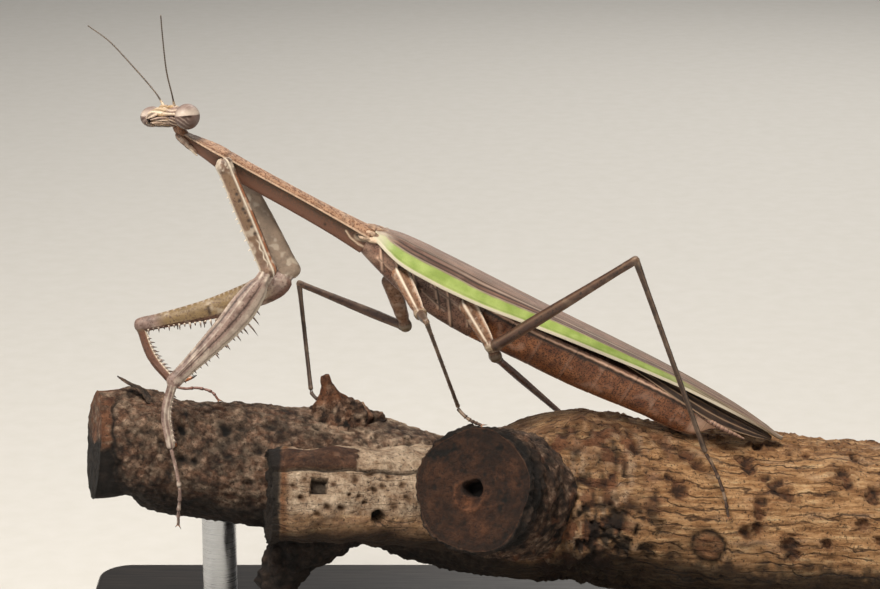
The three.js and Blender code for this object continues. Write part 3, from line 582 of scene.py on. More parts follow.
def make_shield():
    """The plate with its edge, groove and ridge raised, and its marks."""
    grid = trunk(SHIELD_FROM, SHIELD_TO, 300, 76, shield_section, dome=0.35)
    s, q, v = grid.t + 0 * grid.v, grid.phi, grid.v
    top = step(4.1, 4.3, q)
    teeth = 0.5 + 0.5 * np.maximum(np.sin(s * 2 * np.pi / 0.62), 0) * step(-12, -20, s)
    edge = step(3.3, 3.42, q) * step(4.25, 4.0, q)
    # under: a groove under the side edge; its dark mark is painted shadow under the edge.
    under = hump(q, 3.22, 0.12)
    groove = hump(s + 22.4 + 0.35 * np.abs(grid.y), 0, 0.35) * top
    ridge = hump(grid.y, 0, 0.1) * step(5, 5.6, q)
    rim = strongest([hump(far_from(s, v, line), 0, 0.13) for line in zip(SIDE_RIM, SIDE_RIM[1:])])
    soft = step(0.75, 0.45, far_from(s, v, ((-2.0, -0.1), (-0.6, 0.4)))) * step(3.3, 3.1, q)
    cavity = blob((s + 2.19) * 0.7, v + 0.04, 0.24)
    spots = sum(1.3 * blob(s - a, v - b, 0.2) for a, b in SIDE_SPOTS)
    knobs = noise(grid.at, 0.35, 3, 2)
    specks = noise(np.stack([s, grid.y * 2, v * 2], -1), 0.7, 4, 3)
    height = 0.08 * edge * teeth - 0.08 * under - 0.1 * groove + 0.05 * ridge + 0.1 * rim - 0.15 * cavity
    raised(grid, height + 0.02 * knobs * top)
    patchy = noise(grid.at, 2.2, 8, 3)
    side = step(3.3, 3.2, q)
    return grid.mark(
        # The side's tint and warm marks lay its own olive and red-brown, darkened with painted shade.
        tint=side * step(0.2, 1.8, q),
        warm=side * strongest([0.8 * step(2.6, 1.0, q), 0.5 * step(-22.5, -24.5, s)]) * (1 - soft),
        pale=[
            0.5 * edge * (0.85 + 0.15 * knobs), 0.3 * ridge, 0.9 * rim, 0.7 * soft * (0.7 + 0.4 * patchy),
            0.25 * step(0.1, 0.6, patchy) * top, 0.05 * side,
        ],
        dark=[
            # 0.55 * step(1.4, 0.3, q) is painted shade, darker towards the keel.
            0.6 * under, 0.4 * groove, 0.55 * step(1.4, 0.3, q), 0.35 * hump(q, 4.3, 0.08), 0.9 * cavity,
            0.85 * spots,
            0.45 * step(0.25, 0.5, specks) * top, 0.35 * side * step(0.1, 0.6, -patchy),
            # Painted shadow just under the side edge.
            0.3 * step(2.3, 3.1, q) * side * (1 - soft),
        ],
    )


skin("pronotum_shield", [make_shield()], SHIELD, ["pronotum"])

# %% [markdown]
# ## The neck
#
# Between head and shield the skin is soft and shaded, a short sleeve with two folds. Pale horny lobes are
# let into its sides and underside, and lie against the front of the shield.

# %% Neck
NECK_TOP = np.array([-42.75, -4.2, 80.75])
NECK_FOOT = on_body(np.array(SHIELD_FROM + 0.3), 0.0, 0.35)
# Each lobe of the neck's left side: places (s, y, v), half width and half thickness in mm, how pale it is.
NECK_LOBES = [
    (((-30.3, -0.7, 0.4), (-28.9, -1.0, 0.1), (-26.8, -1.15, -0.35)), 0.26, 0.42, 0.1),
    (((-28.2, -1.1, -0.2), (-27.2, -1.3, -0.42), (-26.5, -1.3, -0.62)), 0.16, 0.15, 0.9),
]


def make_neck():
    """A sleeve whose radius goes from 0.6 to 0.85 mm, with two folds as sin(13 t)."""
    def half(t, phi):
        folds = 1 + 0.03 * np.sin(t * 13) * step(0, 0.2, t) * step(1, 0.8, t)
        return mix(0.6, 0.85, t) * folds, mix(0.66, 0.9, t) * folds

    grid = sweep([NECK_TOP, NECK_FOOT], half, 60, 56, BACK, -RIGHT, dome=0.5)
    shade = noise(grid.at, 0.8, 9, 2)
    return grid.mark(tint=0.7, warm=0.6, dark=0.2 + 0.35 * shade)


def make_neck_lobe(side, places, wide, thick, pale):
    """A ragged oval lobe: the half width and thickness follow sin(pi t) ** 0.5."""
    def half(t, phi):
        arch = 0.4 + 0.6 * np.sin(np.pi * np.clip(t, 0, 1)) ** 0.5
        return wide * arch, thick * arch

    at = [on_body(np.array(s), y * side, v) for s, y, v in places]
    grid = sweep(at, half, 48, 32, BACK, -RIGHT * side)
    rough = noise(grid.at, 0.6, 10, 3)
    raised(grid, 0.12 * rough)
    # low: painted shade on the underside of each lobe.
    low = step(-0.3, -0.9, np.sin(grid.phi))
    return grid.mark(
        pale=pale + 0.6 * rough * (1 - low), tint=0.15, dark=0.6 * low + 0.6 * step(0.0, 0.5, -rough),
    )


# Knuckles of horn fill the joint between the shield's rear edge and the wing roots: places (s, y, v),
# half width and half thickness in mm, how pale it is.
KNUCKLES = [
    (((-1.5, -0.4, 1.45), (0.2, -0.4, 1.75), (2.2, -0.4, 1.95)), 0.85, 0.42, 0.2),
    (((-1.5, -1.2, 0.9), (0.1, -1.35, 1.15), (1.9, -1.3, 1.4)), 0.6, 0.42, 0.45),
    (((-1.9, -1.5, 0.0), (-0.4, -1.75, 0.3), (1.4, -1.8, 0.75)), 0.5, 0.4, 0.7),
]
knuckles = [make_neck_lobe(side, *row) for side in (1, -1) for row in KNUCKLES]
skin("wing_root_knuckles", knuckles, SHIELD)
lobes = [make_neck_lobe(side, *row) for side in (1, -1) for row in NECK_LOBES]
skin("neck_sleeve", [make_neck(), *lobes], HEAD_CHITIN, ["neck"])

# %% [markdown]
# ## The head
#
# A mantis has a broad triangular head with an eye at each upper corner and the mouth at the lower one. It
# is turned to the insect's left and tipped back, so that the face looks up. Its own directions are W
# towards the left eye, M towards the mouth and N out of the face.
#
# The capsule is a row of rounded sections along M. On the face stand the frons, a yellowish plate with
# two ridges, the transverse lip plate (clypeus), the sockets of the feelers and three tiny simple eyes.
# The wall between the face and the nape is banded: tan, a cream ridge, a dark groove and then the ribbed
# cheek. These bands follow two numbers, n for the height and `over` for the way from the mouth to the
# eye's outer end.

# %% Head directions and capsule
HEAD = np.array([-43.9, -4.6, 82.05])
W = unit([0.8, -0.58, 0.12])
N = unit(np.cross([-0.6, -0.8, 0.08], W))
N = N * np.sign(N[2])
M = unit(np.cross(W, N))
M = M * -np.sign(M[1])
HEAD_WIDTH = [[-1.9, 1.7], [-1.2, 2.7], [-0.2, 3.0], [0.9, 2.45], [1.9, 1.75], [2.6, 1.35]]
HEAD_FACE = [[-1.9, 0.75], [-0.9, 1.35], [0.4, 1.45], [1.6, 1.25], [2.6, 1.0]]
HEAD_NAPE = [[-1.9, -0.65], [-0.9, -1.2], [0.4, -1.3], [1.6, -1.0], [2.6, -0.6]]
SQUARE = 2.3


def on_head(w, m, n):
    """Places in the frame, in mm: w to the left eye, m to the mouth, n out of the face."""
    w, m, n = np.broadcast_arrays(w, m, n)
    return HEAD + w[..., None] * W + m[..., None] * M + n[..., None] * N


def in_head(at):
    """The w, m and n of places."""
    rest = at - HEAD
    return rest @ W, rest @ M, rest @ N


def stripes(x, gap):
    """0 to 1 and back with every gap along x, as a cosine."""
    return 0.5 + 0.5 * np.cos(2 * np.pi * x / gap)


def make_capsule():
    """Rings along M: |w / a| ** 2.3 + |n / b| ** 2.3 = 1, closed at crown and lip in quarter circles."""
    m, shift, scale = closed_ends(-1.9, 2.6, 190, 14, opening=0.1)
    shift = (shift * np.where(shift < 0, 0.45, 0.3))[:, None]
    scale = scale[:, None]
    phi = around(260)[None, :]
    wide, face, nape = (along(x, m)[:, None] for x in (HEAD_WIDTH, HEAD_FACE, HEAD_NAPE))
    c, s = np.cos(phi), np.sin(phi)
    w = wide * np.sign(c) * np.abs(c) ** (2 / SQUARE) * scale
    n = (face + nape) / 2 + (face - nape) / 2 * np.sign(s) * np.abs(s) ** (2 / SQUARE) * scale
    grid = Grid(on_head(w, m[:, None] + shift, n), m[:, None], phi)
    w, m, n = in_head(grid.at)
    side = np.abs(w)
    over = 0.8 * side - 0.6 * m
    up = step(0.15, 0.6, n / 1.3)
    frons = (
        step(1.35, 1.15, side + 0.45 * np.maximum(m - 0.8, 0)) * step(0.05, 0.2, m) * step(1.55, 1.42, m)
        * up
    )
    keels = hump(side, 0.42 + 0.12 * m, 0.1) * frons
    clypeus = step(1.62, 1.7, m) * step(1.3, 1.15, side) * up
    sutures = (hump(m, 1.58, 0.06) + hump(m, 0.0, 0.05) * step(0.5, 0.8, side)) * up * step(1.9, 1.5, side)
    sockets = hump(np.hypot(side - 0.95, m + 0.35), 0.48, 0.14) * up
    crown = np.cos(w * 2 * np.pi / 0.85) * step(-0.75, -1.1, m) * step(2.0, 1.6, side)
    hill = blob(w, m + 0.25, 0.6) * up
    wall = step(-0.8, -0.2, m)
    waver = 0.05 * noise(grid.at, 0.7, 12, 2)
    ridge_n = mix(0.88, 0.52, step(-1.9, 1.4, over)) + waver
    band = hump(n, ridge_n, 0.15) * wall
    upper = hump(n, ridge_n + 0.48, 0.11) * wall
    lines = (hump(n, ridge_n + 0.25, 0.07) + 0.7 * hump(n, ridge_n + 0.68, 0.06)) * wall
    under = hump(n, mix(0.3, 0.2, step(-1.9, 1.4, over)), 0.1) * wall
    gaps = hump(stripes(over + 0.35, 0.72), 1, 0.3) * hump(n, 0.08, 0.14) * step(-0.6, 0.0, over)
    cheek = step(0.1, -0.1, n) * step(0.1, 0.5, over - 0.35 * n)
    ribs = stripes(n + 0.5 * over + waver, 0.46)
    throat = step(0.1, -0.1, n) * step(0.45, 0.05, over - 0.35 * n)
    pores = noise(grid.at, 0.3, 11, 2)
    raised(
        grid,
        0.09 * frons + 0.07 * keels + 0.08 * clypeus - 0.1 * sutures + 0.2 * sockets + 0.05 * crown
        + 0.12 * hill + 0.1 * band + 0.07 * upper - 0.05 * lines - 0.16 * under - 0.12 * gaps
        + 0.13 * (ribs - 0.5) * cheek + 0.012 * pores,
    )
    return grid.mark(
        pale=0.95 * band + 0.6 * upper + 0.5 * keels + 0.7 * sockets + 0.3 * hump(crown, 1, 0.5) * up
        + 0.6 * ribs**2 * cheek + 0.25 * clypeus + 0.2 * step(0.0, 0.5, pores) * throat,
        tint=0.85 * frons * (1 - keels) + 0.7 * throat + 0.4 * clypeus
        + 0.75 * step(0.6, -0.6, over) * step(0.2, 0.5, n) * wall,
        warm=0.45 * step(-0.5, -1.0, n),
        dark=0.9 * under + 0.95 * gaps + 0.6 * lines + 0.35 * sutures + 0.6 * (1 - ribs) ** 2 * cheek
        + 0.25 * step(0.2, -1.0, crown) * up * step(-0.8, -1.1, m) + 0.45 * step(-0.85, -1.25, n),
    )


skin("head_capsule", [make_capsule()], HEAD_CHITIN, ["head"])

# %% [markdown]
# ## Eyes
#
# The compound eyes are smooth eggs of thousands of tiny lenses under one clear skin. A wide cream band
# goes round each, fading upwards into tan and ending sharply below; under it lies a dark wedge with a
# small black spot, and brown streaks run from the cheek over the lower half. The three simple eyes are
# clear beads.
#
# An egg-shaped primitive would do for the shape. A grid of the same shape knows where each point lies on
# the head, so the bands and streaks of the eye carry on those of the cheek.

# %% Eyes
def lens_skin(name):
    """The eye's skin: soft bands from the marks, and lenses 0.07 mm wide as a faint bump."""
    made, add, place = material(name)
    clouds = add("TexNoise", {"Vector": place, "Scale": per_mm(1.1), "Detail": 3.0})
    colour = add("ValToRGB", {0: clouds}, [(0.35, "#86726a"), (0.65, "#9e8a82")])
    colour = marked(add, colour, "tint", "#6a534b")
    colour = marked(add, colour, "pale", "#cfbfb1")
    colour = marked(add, colour, "dark", "#2a1a12")
    lens = add("TexVoronoi", {"Vector": place, "Scale": per_mm(0.07)})
    finish(add, colour, 0.5, lens, 0.006, IOR=1.45, Coat_Weight=0.04, Coat_Roughness=0.3)
    return made


# Thin clear cornea over brown and cream pigment; the marks also lay a painted highlight and painted shade
# on it.
EYE_SKIN = lens_skin("eye_cornea")
EYE_OUT, EYE_ALONG, EYE_LIFT = 3.17, -0.35, 0.05
# Half sizes along w, m and n for the left eye (1) and the right eye (-1), which bulges a little less.
EYE_HALF = {1: (1.45, 2.0, 1.75), -1: (1.38, 1.9, 1.42)}


def make_eye(side):
    """An ellipsoid with its poles along M: w = a sin(u) cos(p), m = -b cos(u), n = c sin(u) sin(p)."""
    u = np.linspace(0.02, np.pi - 0.02, 150)[:, None]
    p = around(210)[None, :]
    a, b, c = EYE_HALF[side]
    w, m, n = a * np.sin(u) * np.cos(p), -b * np.cos(u) + 0 * p, c * np.sin(u) * np.sin(p)
    grid = Grid(on_head(side * (EYE_OUT + w), EYE_ALONG + m, EYE_LIFT + n), u / np.pi, p)
    over = 0.8 * w - 0.6 * m
    edge = 0.2 + 0.05 * hump(over, 0.3, 1.0)
    waver = 0.22 * noise(grid.at, 0.7, 14, 3)
    outside = step(-0.9, 0.1, w)
    band = step(edge - 0.03, edge + 0.05, n) * step(1.35, 0.45, n) * mix(0.25, 1, outside)
    wedge = step(edge, edge - 0.05, n) * step(edge - 0.5, edge - 0.15, n)
    wedge = wedge * step(-1.1, -0.2, over) * step(0.9, 0.5, over)
    spot = blob(over - 0.5, n - 0.02, 0.12)
    rays = stripes(n + 0.75 * over + waver, 0.62)
    low = step(edge, edge - 0.2, n) * step(0.7, -0.1, over) * outside
    # A painted highlight on the upper part of the eye.
    painted_highlight = blob(over - 0.95, (n - 1.1) * 1.6, 0.3)
    arcs = stripes(n - 0.5 * over + waver, 0.4) * step(0.9, 1.3, n)
    # Painted shade: the eye grows darker towards its underside.
    under = step(-0.5, -1.5, n)
    return grid.mark(
        pale=0.9 * band + 0.3 * rays**3 * low + 0.3 * painted_highlight,
        tint=0.9 * step(edge, edge - 0.08, n) * mix(0.4, 1 - 0.25 * step(0.6, 1.4, over), outside)
        + 0.3 * arcs,
        dark=[0.9 * wedge * outside, 0.95 * spot, 0.45 * (1 - rays) ** 2 * low, 0.4 * under],
    )


for side, name in ((1, "left"), (-1, "right")):
    skin(f"compound_eye_{name}", [make_eye(side)], EYE_SKIN, [f"eye_{name}"])


def bead(place, radius, marks, rows=16, cols=24):
    """A small ball at a place, with one value for each mark."""
    u = np.linspace(0.05, np.pi - 0.05, rows)[:, None]
    p = around(cols)[None, :]
    ball = np.stack([np.sin(u) * np.cos(p), np.sin(u) * np.sin(p), np.cos(u) + 0 * p], -1)
    return Grid(place + ball * radius, u, p).mark(**marks)


SIMPLE_EYES = [(0.0, -0.05), (0.38, -0.5), (-0.38, -0.5)]
beads = [bead(on_head(w, m, 1.5), 0.15, {"tint": 0.6, "dark": 0.5}) for w, m in SIMPLE_EYES]
skin("simple_eyes", beads, EYE_SKIN)

# %% [markdown]
# ## Mouthparts
#
# Below the lip plate hang the upper lip, the two jaws, the pair of lower jaws behind them and the under
# lip. Each is a flattened lobe that tapers to the mouth's tip, and they lie one behind the other like the
# leaves of a bud: each has a pale upper edge, and its underside is painted dark as painted shade in the
# cleft under it. Two pairs of thin jointed palps are folded at their sides.

# %% Mouthparts
def lobe(places, wide, thick, marks, rows=60, cols=36):
    """A leaf-shaped lobe along the places: its half width and half thickness follow a blunt arch."""
    def half(t, phi):
        arch = along([[0, 0.75], [0.3, 1.0], [0.7, 0.85], [1, 0.4]], t)
        return wide * arch, thick * arch

    grid = sweep([on_head(*place) for place in places], half, rows, cols, N, W, dome=0.5)
    height = np.sin(grid.phi) + 0 * grid.t
    rim = hump(height, 0.5, 0.22)
    pits = noise(grid.at, 0.5, 17, 2)
    raised(grid, 0.03 * rim + 0.02 * pits)
    pale, tint, dark = marks
    return grid.mark(
        pale=pale + 0.35 * rim,
        tint=tint,
        # The lobe's underside is painted dark: painted shade in the cleft under it.
        dark=dark * (1 - rim) + 0.85 * step(-0.4, -0.8, height) + 0.6 * step(0.75, 0.95, height)
        + 0.4 * step(0.2, 0.7, -pits),
    )


# One lobe a row, and its mirror image where the last number is 1: places (w, m, n), half width, half
# thickness, (pale, tint, dark), mirrored.
MOUTH = [
    (((0.1, 2.4, 0.72), (0, 3.2, 0.48), (0, 4.1, 0.22)), 0.75, 0.3, (0.4, 0.0, 0.0), 0),
    (((1.5, 1.5, -0.05), (0.95, 2.66, 0.1), (0.3, 3.85, -0.02)), 0.38, 0.24, (0.05, 0.0, 0.15), 1),
    (((1.5, 1.4, -0.42), (1.15, 2.3, -0.26), (0.6, 3.3, -0.28)), 0.34, 0.17, (0.4, 0.0, 0.0), 1),
    (((1.1, 2.1, -0.58), (0.7, 3.1, -0.52), (0.28, 3.8, -0.42)), 0.36, 0.2, (0.1, 0.2, 0.15), 1),
    (((1.45, 1.3, -0.72), (1.2, 2.1, -0.66), (0.8, 2.9, -0.62)), 0.3, 0.15, (0.15, 0.0, 0.2), 1),
    (((0.7, -0.2, -0.95), (0.75, 1.1, -0.9), (0.5, 2.5, -0.75)), 0.6, 0.36, (0.05, 0.7, 0.25), 1),
]
lobes = []
for places, wide, thick, marks, mirrored in MOUTH:
    lobes.append(lobe(places, wide, thick, marks))
    if mirrored:
        lobes.append(lobe([(-w, m, n) for w, m, n in places], wide, thick, marks))
skin("mouthparts_lobes", lobes, HEAD_CHITIN, ["mouthparts"])

PALP = ((1.2, 1.3, -0.8), (1.25, 2.2, -0.78), (0.9, 3.0, -0.68), (0.5, 3.7, -0.5))
UNDER_PALP = ((0.5, 1.6, -0.95), (0.6, 2.4, -0.92), (0.4, 3.0, -0.8))
PALP_JOINTS = 4.5


def make_palp(side, places, radius):
    """A jointed palp: the radius swells as |sin(4.5 pi t)| between its joints, and is pinched at them."""
    def half(t, phi):
        r = radius * (0.86 + 0.18 * np.abs(np.sin(np.pi * PALP_JOINTS * t**0.9)))
        return r, r

    grid = sweep([on_head(side * w, m, n) for w, m, n in places], half, 90, 24, N, W)
    knots = step(0.3, 0.05, np.abs(np.sin(np.pi * PALP_JOINTS * grid.t**0.9)))
    return grid.mark(
        pale=0.25 * (1 - knots), tint=0.4, dark=0.5 * knots + 0.4 * step(-0.2, -0.8, np.sin(grid.phi)),
    )


for side, name in ((1, "left"), (-1, "right")):
    palps = [make_palp(side, PALP, 0.13), make_palp(side, UNDER_PALP, 0.11)]
    skin(f"jaw_palps_{name}", palps, HEAD_CHITIN, [f"palp_{name}"])

# %% [markdown]
# ## Feelers
#
# A feeler starts with a thick pale joint in its socket and a smaller second one, and goes on as a thread
# of many short rings, a fifth of a millimetre thick. The rings are drawn as bands around it.

# %% Feelers
FEELER_ROOT = (0.95, -0.35, 1.5)
FEELERS = {
    "left": [(-43.2, -5.3, 85.2), (-43.8, -5.9, 88.4), (-44.1, -7.0, 92.9), (-44.2, -8.2, 96.6)],
    "right": [(-45.6, -2.6, 84.9), (-49.4, 0.0, 88.7), (-52.4, 1.6, 91.5), (-55.3, 3.0, 93.3)],
}
FEELER_SIZE = [[0, 0.2], [0.05, 0.2], [0.075, 0.14], [0.1, 0.18], [0.125, 0.12], [0.5, 0.1], [1, 0.08]]
FEELER_RINGS = 52


def make_feeler(places):
    """A thread through the places: its radius falls along FEELER_SIZE, with 52 rings of 0.008 mm
    relief."""
    def half(t, phi):
        r = along(FEELER_SIZE, t) + 0.008 * np.sin(2 * np.pi * FEELER_RINGS * t)
        return r, r

    grid = sweep(places, half, 520, 14, np.array([0, 1, 0.2]), -RIGHT)
    rings = stripes(grid.t, 1 / FEELER_RINGS)
    base = step(0.15, 0.08, grid.t)
    return grid.mark(pale=0.9 * base + 0.15 * rings, dark=0.5 * (1 - rings) * (1 - base))


for side, name in ((1, "left"), (-1, "right")):
    w, m, n = FEELER_ROOT
    places = [on_head(side * w, m, n), *FEELERS[name]]
    skin(f"feeler_{name}", [make_feeler(places)], THREAD, [f"antenna_{name}"])

# %% [markdown]
# ## Chest and belly
#
# The chest that bears the wings and the two hind pairs of legs is a box of small plates. Their seams run
# as ridges and grooves over the flank, so each is drawn as a line from one (s, v) place to another, and
# the surface rises or sinks beside it. The belly is ten rings that overlap like the joints of a bamboo
# shoot, and a pale fold runs along each flank, where the upper and lower plates meet.
#
# One could model each plate as a body of its own. The seams are shallow, though, and a line of relief in
# one skin keeps the outline of the whole and has no gaps.

# %% Chest
CHEST_WIDTH = [[-0.5, 1.7], [3, 2.6], [8, 3.1], [13, 3.1], [18, 3.2]]
CHEST_ROOF = [[-0.5, 1.0], [4, 1.3], [10, 1.4], [18, 1.3]]
CHEST_KEEL = [[-0.5, -2.2], [4, -3.7], [8, -4.7], [13, -5.4], [18, -5.6]]
# Seams of the side plates, each from (s, v) to (s, v): the upright ones lean forward at the foot.
CHEST_SEAMS = [
    ((1.2, 0.9), (3.4, -2.6)), ((3.2, 1.1), (7.4, -4.2)), ((5.6, 1.2), (10.6, -5.0)),
    ((9.2, 1.2), (12.6, -3.6)), ((11.2, 1.2), (15.6, -5.4)), ((14.2, 1.2), (17.4, -3.9)),
    ((2.0, -1.4), (9.0, -2.6)), ((10.2, -1.2), (17.0, -2.2)),
    ((9.3, -2.34), (11.76, -3.11)), ((11.76, -3.11), (13.5, -3.46)),
]
SUNKEN = ((9.2, -2.0), (13.0, -2.6))


def chest_section(s):
    """Keel, three corners of the flank and the ridge, as [y, v]."""
    w, roof, keel = (along(x, s) for x in (CHEST_WIDTH, CHEST_ROOF, CHEST_KEEL))
    return [
        (0 * s, keel), (0.5 * w, keel + 0.25), (0.85 * w, mix(keel, roof, 0.3)), (w, mix(keel, roof, 0.62)),
        (0.8 * w, mix(keel, roof, 0.9)), (0 * s, roof),
    ]


def make_chest():
    """The chest's box with a rounded ridge beside each seam, a groove in it and a sunken side panel."""
    grid = trunk(-0.5, 17.95, 200, 68, chest_section, dome=0.3)
    s, v = grid.t + 0 * grid.v, grid.v
    ridges, grooves = 0 * v, 0 * v
    for line in CHEST_SEAMS:
        ridges = np.maximum(ridges, hump(far_from(s + 0.26, v, line), 0, 0.2))
        grooves = np.maximum(grooves, hump(far_from(s, v, line), 0, 0.13))
    flank = step(0.9, 1.6, np.abs(grid.y))
    dents = noise(grid.at, 1.9, 21, 2)
    panel = step(1.3, 0.9, far_from(s, v, SUNKEN))
    raised(grid, (0.12 * ridges - 0.13 * grooves - 0.08 * panel) * flank + 0.07 * dents)
    spots = sum(blob(s - a, v - b, 0.17) for a, b in ((7.9, -2.3), (11.56, -2.74), (4.9, -1.0)))
    return grid.mark(
        pale=0.8 * ridges * flank + 0.25 * step(0.2, 0.6, dents),
        dark=(0.65 * grooves + spots + 0.3 * panel) * flank + 0.45 * step(-4.2, -5.4, v),
        tint=1.0 - 0.3 * step(-0.2, 0.5, noise(grid.at, 3.1, 5)),
    )


skin("chest_plates", [make_chest()], BODY, ["thorax"])

# %% Belly
BELLY_WIDTH = [[18, 3.2], [24, 3.8], [33, 4.05], [42, 3.8], [48, 3.1], [52.5, 2.1], [54.6, 1.2]]
BELLY_ROOF = [[18, 1.3], [33, 1.5], [45, 1.6], [52, 1.4], [54.6, 1.0]]
BELLY_RIDGE = [[18, 0.0], [25, 0.2], [35, 0.85], [46, 1.1], [54.6, 0.6]]
BELLY_KEEL = [[18, -5.6], [25, -5.2], [34, -4.9], [44, -4.0], [52, -3.4], [54.6, -1.2]]
RINGS = [18.0, 22.4, 27.1, 31.9, 36.6, 41.1, 45.2, 48.7, 51.4, 53.2, 54.7]


def belly_section(s):
    """Keel, three corners of the lower plate, the fold's corner, one of the upper plate and the ridge."""
    w, roof, ridge, keel = (along(x, s) for x in (BELLY_WIDTH, BELLY_ROOF, BELLY_RIDGE, BELLY_KEEL))
    return [
        (0 * s, keel), (0.42 * w, keel + 0.16), (0.74 * w, mix(keel, ridge, 0.24)),
        (0.92 * w, mix(keel, ridge, 0.6)), (w, ridge - 0.1), (0.85 * w, mix(ridge, roof, 0.35)),
        (0 * s, roof),
    ]


def make_belly():
    """The belly's rings: within each, place runs from 0 to 1, and the skin swells and then drops at the
    rim."""
    grid = trunk(18.05, 54.6, 370, 70, belly_section, dome=0.7)
    s, q = grid.t, grid.phi
    ring = np.clip(np.searchsorted(RINGS, s, side="right") - 1, 0, len(RINGS) - 2)
    start, end = np.array(RINGS)[ring], np.array(RINGS)[ring + 1]
    place = (s - start) / (end - start)
    rim = step(0.84, 0.95, place) * step(1.0, 0.97, place)
    scallop = 0.02 * np.cos(2 * np.pi * place * 3)
    ragged = 0.05 * noise(grid.at, 0.5, 32, 2)
    fold = hump(q + scallop, 3.9, 0.13)
    border = hump(q + ragged, 3.68, 0.09)
    lower = step(20, 24, s)
    line = hump(q, 1.05, 0.05) * lower
    grain = noise(grid.at, 0.45, 31, 2)
    swell = 0.03 * np.sin(np.pi * place) + 0.025 * rim - 0.05 * hump(place, 0, 0.03)
    raised(grid, swell + 0.12 * fold - 0.07 * border - 0.05 * hump(q, 1.25, 0.07) * lower + 0.015 * grain)
    blotch = noise(grid.at, 1.4, 33, 3)
    last = step(50.6, 52.0, s)
    return grid.mark(
        pale=0.85 * fold + 0.7 * line + 0.12 * rim * step(1.2, 2.0, q) + 0.8 * last * step(0.8, 2.2, q)
        + 0.22 * step(0.1, 0.6, blotch) * step(1.3, 2.0, q),
        dark=0.8 * border + 0.6 * hump(q, 1.3, 0.12) * lower + 0.45 * step(1.0, 0.9, q) * (1 - line)
        + 0.35 * hump(place, 0.0, 0.02) + 0.3 * step(0.1, 0.5, -blotch) * (1 - fold)
        # Painted shadow under the wing's edge, round the pale fold.
        + 0.3 * step(3.4, 3.6, q) * (1 - fold),
        tint=0.85 * step(4.05, 4.2, q) + 0.4 * step(1.0, 0.9, q),
    )


skin("belly_rings", [make_belly()], BODY, ["abdomen"])

# %% Tail feelers
CERCUS = ((51.6, 2.1, 0.1), (54.6, 2.9, 0.1), (58.6, 2.8, 0.2))
CERCUS_SIZE = [[0, 0.3], [0.35, 0.42], [0.8, 0.3], [1, 0.16]]
CERCUS_BEADS = 13


def make_cercus(side):
    """One tail feeler: 13 beads as cos(26 pi t ** 0.85), which makes them longer towards the tip."""
    def turns(t):
        return np.cos(2 * np.pi * CERCUS_BEADS * np.clip(t, 0, 1) ** 0.85)

    def half(t, phi):
        radius = along(CERCUS_SIZE, t) * (1 + 0.07 * turns(t))
        return radius, radius * 0.85

    places = [on_body(np.array(s), side * y, v) for s, y, v in CERCUS]
    grid = sweep(places, half, 150, 20, BACK, RIGHT * side)
    upper = step(0.2, 0.8, np.sin(grid.phi))
    gaps = step(-0.5, -0.95, turns(grid.t))
    return grid.mark(
        pale=0.35 * upper + 0.1 * (1 - gaps), dark=0.3 * gaps + 0.25 * step(0.0, -0.7, np.sin(grid.phi)),
        tint=0.8,
    )


for side, name in ((-1, "left"), (1, "right")):
    skin(f"tail_feeler_{name}", [make_cercus(side)], BODY, [f"cercus_{name}"])

# %% [markdown]
# ## The wings
#
# The fore wings are leathery covers. They lie flat on the back, the left one lapping over the right, and
# roll down the flanks past a strong lengthwise vein. The strip in front of that vein is green with a
# cream rim; the rest is brown, and fine veins run along it with a net of cross veins between them. The
# hind wings are folded like a fan under the covers, and only their dark edges show.
#
# A wing could be a flat sheet with a Solidify modifier. It is built here as a closed ring of an upper and
# a lower surface, so the veins stand out of the upper side only and the rim stays round.

# %% Wing chitin
def wing_chitin(name, ground, fleck, green, pale, dark):
    """Leathery wing stuff. A Mapping turns the pattern to the body's slope, so that its streaks and its
    net of cross veins, drawn 0.3 mm apart as the finest that shows, run along the wing."""
    made, add, place = material(name)
    turned = add("Mapping", {"Vector": place, "Rotation": (0, -PITCH, 0)})
    long = add("Mapping", {"Vector": turned, "Scale": (0.06, 1, 1)})
    streaks = add("TexNoise", {"Vector": long, "Scale": per_mm(0.3), "Detail": 4.0})
    colour = add("ValToRGB", {0: streaks}, [(0.35, ground[0]), (0.65, ground[1])])
    patches = add("TexNoise", {"Vector": place, "Scale": per_mm(2.0), "Detail": 4.0})
    shade = add("ValToRGB", {0: patches}, [(0.5, 0.0), (0.72, 0.6)])
    colour = add("Mix", {0: shade, 6: colour, 7: fleck}, out=2, data_type="RGBA")
    leaf = add("ValToRGB", {0: patches}, [(0.35, green[0]), (0.7, green[1])])
    colour = marked(add, colour, "tint", leaf)
    net = add("Mapping", {"Vector": turned, "Scale": (1, 1.6, 1.6)})
    net = add("TexVoronoi", {"Vector": net, "Scale": per_mm(0.3)}, feature="DISTANCE_TO_EDGE")
    veins = add("MapRange", {0: net, 1: 0.0, 2: 0.12, 3: 1.0, 4: 0.0})
    faint = add("Math", {0: veins, 1: 0.1}, operation="MULTIPLY")
    colour = add("Mix", {0: faint, 6: colour, 7: dark}, out=2, data_type="RGBA")
    colour = marked(add, colour, "dark", dark)
    colour = marked(add, colour, "pale", pale)
    height = add("Math", {0: veins, 1: streaks}, operation="ADD")
    gloss = add("MapRange", {0: streaks, 1: 0.3, 2: 0.7, 3: 0.4, 4: 0.55})
    finish(add, colour, gloss, height, 0.02, IOR=CHITIN_IOR)
    return made


# Tegmen: a tough brown cover with a leaf-green front strip and a cream rim.
TEGMEN = wing_chitin(
    "tegmen_leather", ("#5d4034", "#8b6656"), "#97776a", ("#8aa046", "#aec06a"), "#cbc0ab", "#1e140c",
)
# The folded hind wing: a smoky membrane, nearly black between its pale ribs.
FOLDED = wing_chitin(
    "hind_wing_membrane", ("#24140c", "#4c3526"), "#5d4433", ("#6e7a40", "#7e8a4c"), "#b89a7c", "#140a05",
)

